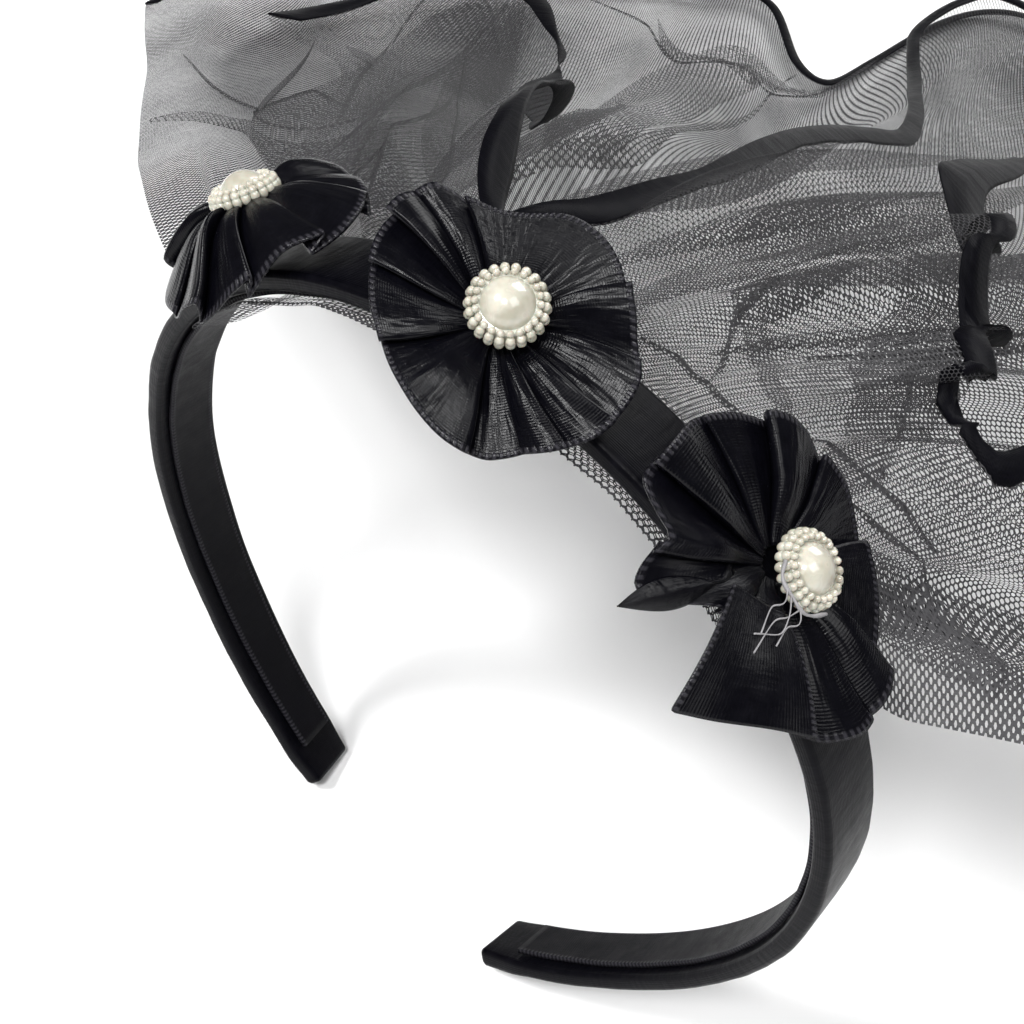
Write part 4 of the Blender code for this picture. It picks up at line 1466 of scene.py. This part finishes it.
@dataclass
class NetTier:
    """One tier of net with its folds and its ribbon bound hem."""

    tier: Tier
    seed: float
    hem: tuple
    folds: tuple
    side: float
    columns: int
    rows: int
    flat: tuple
    area: float

    def lift(self, way: np.ndarray) -> np.ndarray:
        """Rise of this tier over the lower one.

        Args:
            way: Place from the heading to the hem.

        Returns:
            Height in millimetres.
        """
        if self.tier is Tier.LOWER:
            return np.zeros_like(way)
        return VEIL.net_wall + VEIL.gap + VEIL.tier_lift * smooth(way / 0.3)

    def inside(self, share: np.ndarray, way: np.ndarray, loop: np.ndarray) -> np.ndarray:
        """Tell which places lie inside a closed outline.

        Args:
            share: Places along the heading.
            way: Places from the heading to the hem.
            loop: Rows of share and way of the outline.

        Returns:
            True at the places inside.
        """
        hit = np.zeros(share.shape, dtype=bool)
        for (s0, w0), (s1, w1) in zip(loop, np.roll(loop, -1, axis=0)):
            if s0 == s1:
                continue
            between = (s0 <= share) != (s1 <= share)
            hit ^= between & (way < w0 + (w1 - w0) * (share - s0) / (s1 - s0))
        return hit

    def build_net(self) -> bpy.types.Object:
        """Net from its heading under the band to the hem, with its folds."""
        route = VEIL.path(np.array(self.hem), 1.8)
        near = np.linspace(-0.45, 0.0, 12)[:-1]
        way = np.concatenate([near, 0.993 * np.linspace(0.0, 1.0, self.rows) ** 1.1])
        s, w = np.meshgrid(np.linspace(-self.side, self.side, self.columns), way)
        faces = np.array(grid_faces(*s.shape))
        if self.tier is Tier.UPPER:
            loop = np.concatenate([route[:, :2], [(self.side, -0.6), (-self.side, -0.6)]])
            flat = np.stack([s.ravel(), w.ravel()], axis=-1)
            middle = flat[faces].mean(axis=1)
            faces = faces[self.inside(middle[:, 0], middle[:, 1], loop)]
        used, corner = np.unique(faces, return_inverse=True)
        points = VEIL.place(s, w, self.lift(w), self.seed).reshape(-1, 3)[used]
        verts, quads = [points], [corner.reshape(-1, 4)]
        uv, dense = [VEIL.cloth(s, w).reshape(-1, 2)[used]], [self.density(s, w).ravel()[used]]
        count = len(used)
        for number, (width, *line) in enumerate(self.folds):
            strip, chart, thread = self.fold(width, np.array(line), number)
            quads.append(np.array(grid_faces(*strip.shape[:2])) + count)
            verts.append(strip.reshape(-1, 3))
            uv.append(chart.reshape(-1, 2))
            dense.append(thread.ravel())
            count += len(verts[-1])
        return make_piece("veil_" + self.tier.value + "_net", np.concatenate(verts),
                          np.concatenate(quads).tolist(), np.concatenate(uv),
                          {"dense": np.concatenate(dense)})

    def density(self, share: np.ndarray, way: np.ndarray) -> np.ndarray:
        """Extra thread where the lower tier lies crushed, and less in its light places.

        Args:
            share: Place along the heading.
            way: Place from the heading to the hem.

        Returns:
            Extra width of the threads.
        """
        if self.tier is Tier.UPPER:
            return np.zeros_like(share)
        left = 0.15 * smooth((-share - 0.60) / 0.30) * smooth(way / 0.15)
        right = 0.12 * smooth((share - 0.90) / 0.06)
        light = 0.07 * np.exp(-((share - 0.78) / 0.12) ** 2 - ((way - 0.2) / 0.15) ** 2)
        far = 0.045 * smooth((way - 0.45) / 0.3) * smooth((0.35 - share) / 0.4)
        bay = 0.13 * np.exp(-((share + 0.2) / 0.16) ** 2 - ((way - 0.15) / 0.16) ** 2)
        return 0.045 + left + right - light + far - bay

    def fold(self, width: float, line: np.ndarray, number: int) -> tuple:
        """Overlap of the net along a line, creased along both sides.

        Args:
            width: Width at the widest place in millimetres.
            line: Rows of share and way.
            number: Turns the weave a little further for each fold.

        Returns:
            Grid of points, cloth coordinates and extra thread.
        """
        share, way = VEIL.path(line, 2.2).T
        ds, dw, run = VEIL.inward(share, way)
        middle = np.sin(math.pi * np.clip(run / run[-1], 0.01, 0.99))
        half = width / 2 * middle ** 0.6 + 0.05
        inner = np.maximum(half - 0.4, 0.03)
        crease = (0.34 if width < WIDE_FOLD else 0.2) * middle ** 0.5
        close = 0.02 * middle
        if width < SLIM_FOLD:
            close = 0.3 * middle ** 0.5
        elif DARK_FOLD[0] < width < DARK_FOLD[1]:
            close = 0.22 * middle ** 0.3
        points, chart, thread = [], [], []
        turn = 0.35 + 0.5 * number
        section = ((-half, 0.25, crease), (-inner, 0.5, close), (-0.5 * inner, 0.75, close),
                   (0.0 * half, 0.85, close), (0.5 * inner, 0.75, close), (inner, 0.5, close),
                   (half, 0.25, 0.6 * crease))
        for offset, rise, extra in section:
            s, w = share + ds * offset, way + dw * offset
            points.append(VEIL.place(s, w, self.lift(w) + rise, self.seed))
            x, y = VEIL.cloth(s, w).T
            chart.append(np.stack([x * math.cos(turn) - y * math.sin(turn) + number,
                                   x * math.sin(turn) + y * math.cos(turn)], axis=-1))
            thread.append(extra)
        return np.stack(points, axis=1), np.stack(chart, axis=1), np.stack(thread, axis=1)

    def build_heading(self) -> bpy.types.Object:
        """Folded edge of the heading that shows in front of the band."""
        share = np.linspace(-1.0, 1.0, 240)
        steps = np.array([-0.40, -0.48, -0.55, -0.62, -0.68, -0.74, -0.79, -0.83, -0.85, -0.83,
                          -0.78, -0.7, -0.6])
        way = np.repeat(steps[:, None], len(share), 1)
        s = np.repeat(share[None], len(steps), 0)
        points, up = VEIL.base(s, way)
        layer = np.array([0.0] * 8 + [-0.25] + [-0.5] * 4)[:, None]
        rise = 3.2 * smooth((-way - 0.42) / 0.42) + layer + 0.5 * ripple(s * 9.0, way * 1.5, 2.2)
        points = points + up * rise[..., None]
        run = np.concatenate(([0.0], np.cumsum(np.abs(np.diff(steps)) * 2.2)))
        uv = together(s * 5.8, run[:, None])
        return sheet_piece("veil_heading_edge", points, uv, layers={"dense": 0 * s})

    def build_hem(self) -> bpy.types.Object:
        """Ribbon folded over the edge of the net."""
        share, end, width = VEIL.path(np.array(self.hem), 1.8).T
        ds, dw, length = VEIL.inward(share, end)
        profile = ((-0.25, 0.0), (0.0, 0.45), (0.35, 0.55), (1.0, 0.4), (1.04, 0.0), (1.0, -0.4),
                   (0.35, -0.5), (0.0, -0.4))
        ripples = 0.25 * ripple(length / 7.0, 0 * length, self.seed + 2)
        rings, uv = [], []
        for k, (inset, rise) in enumerate(profile):
            step = inset * width if inset > 0 else inset * 1.0 + 0 * width
            s = np.clip(share + ds * step, -1.03, 1.03)
            w = end + dw * step
            at = VEIL.place(s, w, self.lift(w), self.seed)
            up = VEIL.base(s, w)[1]
            rings.append(at + up * (rise + ripples * smooth(np.array(inset)))[..., None])
            uv.append(together(length / 10, k * 0.12))
        rings, uv = np.stack(rings, axis=1), np.stack(uv, axis=1)
        return tube_piece("veil_" + self.tier.value + "_hem_ribbon", rings, uv)


# Hem of each tier: share, way and ribbon width in millimetres.
LOWER_HEM = tuple((k / 20 - 1.0, 0.993, 3.6) for k in range(41))
UPPER_HEM = (
    (-0.84, 0.784, 6.0), (-0.80, 0.837, 6.0), (-0.74, 0.868, 6.0), (-0.675, 0.90, 6.0),
    (-0.634, 0.885, 6.0), (-0.610, 0.815, 5.6), (-0.580, 0.755, 5.6), (-0.625, 0.665, 5.6),
    (-0.615, 0.570, 5.0), (-0.575, 0.470, 5.0), (-0.505, 0.355, 4.6), (-0.445, 0.260, 3.6),
    (-0.405, 0.190, 2.8), (-0.372, 0.135, 2.3), (-0.310, 0.095, 2.0), (-0.240, 0.100, 2.2),
    (-0.182, 0.133, 2.6), (-0.164, 0.165, 2.9), (-0.158, 0.211, 2.9), (-0.156, 0.250, 2.4),
    (-0.166, 0.290, 2.2), (-0.180, 0.340, 2.2), (-0.192, 0.395, 2.4), (-0.197, 0.453, 3.2),
    (-0.192, 0.505, 3.4), (-0.190, 0.540, 3.0), (-0.212, 0.600, 2.8), (-0.250, 0.690, 2.8),
    (-0.292, 0.830, 3.2), (-0.305, 0.930, 4.0), (-0.270, 0.985, 4.0), (-0.200, 0.930, 4.0),
    (-0.120, 0.780, 4.4), (-0.050, 0.620, 5.0), (0.000, 0.500, 5.6), (0.030, 0.420, 5.6),
    (0.120, 0.360, 4.4), (0.300, 0.290, 4.2), (0.460, 0.231, 4.0), (0.600, 0.192, 2.8),
    (0.684, 0.188, 1.6), (0.672, 0.220, 1.6), (0.600, 0.285, 2.4), (0.500, 0.370, 4.0),
    (0.410, 0.470, 5.0), (0.360, 0.600, 5.0), (0.370, 0.760, 5.0), (0.440, 0.890, 5.0),
    (0.540, 0.915, 5.0), (0.650, 0.890, 5.0), (0.720, 0.866, 5.0), (0.800, 0.818, 5.0),
    (0.840, 0.771, 5.0))

# Folds of the lower tier: width, then share and way along each.
FOLDS = (
    (1.2, (-0.63, 1.0), (-0.517, 0.825), (-0.475, 0.75), (-0.44, 0.80), (-0.40, 0.87),
     (-0.357, 0.95)),
    (5.0, (-0.53, 0.88), (-0.485, 0.78), (-0.452, 0.77), (-0.43, 0.83), (-0.38, 0.92),
     (-0.33, 0.97)),
    (3.4, (-0.405, 0.15), (-0.405, 0.246), (-0.40, 0.327), (-0.402, 0.438), (-0.43, 0.58),
     (-0.42, 0.80), (-0.40, 0.95)),
    (24.0, (-0.42, 0.25), (-0.46, 0.38), (-0.49, 0.50), (-0.49, 0.64), (-0.45, 0.80),
     (-0.38, 0.93)),
    (5.0, (-0.035, 0.06), (-0.018, 0.172), (-0.024, 0.241), (-0.033, 0.295), (-0.045, 0.342),
     (-0.07, 0.50)),
    (11.0, (0.12, 0.04), (0.058, 0.181), (0.0, 0.26), (-0.014, 0.325), (-0.043, 0.45),
     (-0.06, 0.62)),
    (1.1, (0.20, 0.05), (0.293, 0.063), (0.38, 0.062), (0.52, 0.064)),
    (0.9, (0.195, 0.18), (0.219, 0.142), (0.246, 0.123), (0.319, 0.101), (0.36, 0.07)),
    (5.0, (0.17, 0.26), (0.216, 0.152), (0.253, 0.137), (0.326, 0.129), (0.43, 0.109),
     (0.60, 0.08)),
    (1.7, (0.305, 0.09), (0.303, 0.161), (0.302, 0.182), (0.302, 0.209), (0.298, 0.234),
     (0.285, 0.34)),
    (1.2, (0.33, 0.16), (0.325, 0.20), (0.32, 0.235), (0.30, 0.34)),
    (0.9, (0.38, 0.25), (0.437, 0.199), (0.507, 0.182), (0.56, 0.164), (0.68, 0.13)),
    (0.9, (0.56, 0.10), (0.656, 0.119), (0.698, 0.128), (0.78, 0.155)),
    (0.8, (0.72, 0.10), (0.757, 0.121), (0.785, 0.137), (0.839, 0.146), (0.90, 0.145)),
    (24.0, (-0.02, 0.62), (0.10, 0.45), (0.20, 0.35), (0.32, 0.25), (0.45, 0.19), (0.62, 0.13),
     (0.72, 0.06)),
    (14.0, (0.76, 0.04), (0.83, 0.08), (0.90, 0.13), (0.915, 0.20), (0.90, 0.34)),
    (7.5, (0.865, 0.085), (0.89, 0.115), (0.893, 0.138), (0.925, 0.155), (0.975, 0.162)),
    (1.4, (0.86, 0.10), (0.881, 0.119), (0.883, 0.143), (0.915, 0.162), (0.96, 0.17)),
    (1.0, (-0.965, 0.72), (-0.935, 0.55), (-0.90, 0.475), (-0.85, 0.45), (-0.80, 0.43)),
    (15.0, (-0.99, 0.50), (-0.93, 0.43), (-0.87, 0.39), (-0.82, 0.34), (-0.76, 0.24),
     (-0.68, 0.12)),
    (1.2, (-0.72, 0.97), (-0.757, 0.77), (-0.783, 0.656), (-0.796, 0.559), (-0.81, 0.44)),
    (38.0, (-0.66, 0.98), (-0.71, 0.72), (-0.75, 0.54), (-0.77, 0.38), (-0.74, 0.22),
     (-0.66, 0.06)),
    (1.3, (-0.67, 0.90), (-0.70, 0.768), (-0.735, 0.60), (-0.775, 0.46), (-0.815, 0.33)),
    (0.8, (-0.848, 0.50), (-0.821, 0.58), (-0.812, 0.575), (-0.80, 0.50)),
    (0.9, (-0.71, 0.62), (-0.721, 0.40), (-0.735, 0.316), (-0.80, 0.20)),
    (20.0, (-0.64, 0.96), (-0.68, 0.70), (-0.67, 0.46), (-0.63, 0.29), (-0.56, 0.12),
     (-0.52, 0.04)),
    (1.0, (-0.70, 0.80), (-0.707, 0.562), (-0.685, 0.45), (-0.661, 0.309), (-0.63, 0.18)))
TIERS = (
    NetTier(Tier.LOWER, 1.7, LOWER_HEM, FOLDS, 1.0, 400, 190, (0.60, 0.38), 0.215),
    NetTier(Tier.UPPER, 4.1, UPPER_HEM, (), 0.84, 460, 190, (0.52, 0.30), 0.085))

THREADS = {Tier.LOWER: 0.235, Tier.UPPER: 0.165}  # share of a net cell


# Stage


@dataclass
class Studio:
    """Pale floor, soft lamps and the camera."""

    eye: tuple = (103.04, -115.96, 257.26)
    right: tuple = (0.7638, 0.64523, -0.01703)
    down: tuple = (0.43572, -0.5349, -0.72389)
    lens: float = 56.25
    sensor: float = 36.0
    surround: float = 0.10
    floor_size: float = 8.0
    aim: tuple = (0.0, -0.05, 0.05)
    lamps: tuple = (
        ("key_lamp", (-0.5, -0.9, 1.4), 0.34, 19.0),
        ("second_lamp", (0.35, -1.0, 1.5), 0.34, 19.0),
        ("fill_lamp", (1.1, -0.3, 1.4), 0.9, 12.0),
        ("back_lamp", (0.0, 1.3, 1.3), 1.0, 20.0))

    def camera(self) -> None:
        """Set the camera at the picture's angle."""
        data = bpy.data.cameras.new("camera")
        data.lens, data.sensor_width, data.sensor_fit = self.lens, self.sensor, "HORIZONTAL"
        data.clip_start, data.clip_end = 0.01, 20.0
        camera = bpy.data.objects.new("camera", data)
        bpy.context.scene.collection.objects.link(camera)
        x = Vector(self.right).normalized()
        y = -Vector(self.down).normalized()
        z = x.cross(y)
        turn = Matrix((x, y, z)).transposed().to_4x4()
        place = (np.array(self.eye) + SETTLE) * MM
        camera.matrix_world = Matrix.Translation(Vector(place.tolist())) @ turn
        bpy.context.scene.camera = camera

    def lamp(self, name: str, place: tuple, size: float, power: float) -> None:
        """Square soft lamp aimed at the rosettes.

        Args:
            name: Name of the lamp.
            place: Place in metres.
            size: Side in metres.
            power: Power in watts.
        """
        data = bpy.data.lights.new(name, "AREA")
        data.shape, data.size, data.energy = "SQUARE", size, power
        lamp = bpy.data.objects.new(name, data)
        bpy.context.scene.collection.objects.link(lamp)
        lamp.location = place
        aim = Vector(self.aim) - Vector(place)
        lamp.rotation_mode = "QUATERNION"
        lamp.rotation_quaternion = aim.to_track_quat("-Z", "Y")

    def build(self) -> None:
        """Floor, lamps, surround and camera."""
        bpy.ops.object.select_all(action="DESELECT")
        bpy.ops.mesh.primitive_plane_add(size=self.floor_size, location=(0.0, 0.0, 0.0))
        floor = bpy.context.object
        floor.name = "floor"
        floor.data.materials.append(FloorFinish("pale_paper").make())
        world = bpy.data.worlds.new("surround")
        world.use_nodes = True
        back = world.node_tree.nodes["Background"]
        back.inputs["Color"].default_value = (1.0, 1.0, 1.0, 1.0)
        back.inputs["Strength"].default_value = self.surround
        bpy.context.scene.world = world
        for lamp in self.lamps:
            self.lamp(*lamp)
        self.camera()
        bpy.context.scene.view_settings.view_transform = "Standard"


def dress(piece: bpy.types.Object, finish: bpy.types.Material, slot: str, *nodes: str) -> None:
    """Finish a piece and report it.

    Args:
        piece: The piece.
        finish: Its material.
        slot: Not used.
        nodes: Solids that it stands for.
    """
    piece.data.materials.clear()
    piece.data.materials.append(finish)
    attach(piece, BODY)
    if nodes:
        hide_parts(*nodes)
    LOG.info("%s: %d faces", piece.name, len(piece.data.polygons))


def main() -> None:
    """Build every piece in order."""
    logging.basicConfig(level=logging.INFO, format="%(name)s %(message)s")
    Studio().build()
    band = SatinBand(LINE)
    satin = RibbonFinish("black_satin_wrap", rough=(0.30, 0.44), gloss=0.055, crush=0.2).make()
    wrap = band.build()
    dress(wrap, satin, "headband", "headband")
    lining = band.lining()
    weave = RibbonFinish("black_lining_weave", Weave.PLAIN, rough=(0.4, 0.55), gloss=0.06,
                         crush=0.1, selvedge_cm=(0.02, 0.82)).make()
    dress(lining, weave, "band_lining", "band_lining")
    ribbon = RibbonFinish("black_satin_ribbon", selvedge_cm=(1.46,)).make()
    pearl = PearlFinish("cream_pearl").make()
    for rosette in ROSETTES:
        flower = rosette.build()
        node = "rosette_" + rosette.name
        dress(flower, ribbon, node, node)
        node = "pearl_" + rosette.name
        dress(Pearl(rosette).build(), pearl, node, node)
    ends = RibbonEnd(ROSETTES[2])
    tail = ends.build_tail()
    cut = RibbonFinish("black_ribbon_cut", selvedge_cm=(0.03, 1.77), crush=0.2, line_cm=0.045)
    dress(tail, cut.make(), "ribbon_tail", "ribbon_tail")
    point = ends.build_point()
    dress(point, ribbon, "rosette_right")
    strands = GlueStrands(ROSETTES[2]).build()
    dress(strands, ThreadFinish("clear_glue").make(), "pearl_right")
    hem_look = RibbonFinish("black_hem_binding", Weave.PLAIN, rough=(0.4, 0.55), gloss=0.05,
                            crush=0.3).make()
    for tier in TIERS:
        net = tier.build_net()
        which = tier.tier.value
        tulle = NetFinish("black_tulle_" + which, thread=THREADS[tier.tier]).make()
        dress(net, tulle, "veil_" + which, "veil_" + which)
        if tier.tier is Tier.LOWER:
            edge = tier.build_heading()
            dress(edge, tulle, "veil_lower", "veil_lower")
        hem = tier.build_hem()
        dress(hem, hem_look, "hem_ribbon_" + which, "hem_ribbon_" + which)


if __name__ == "__main__":
    main()
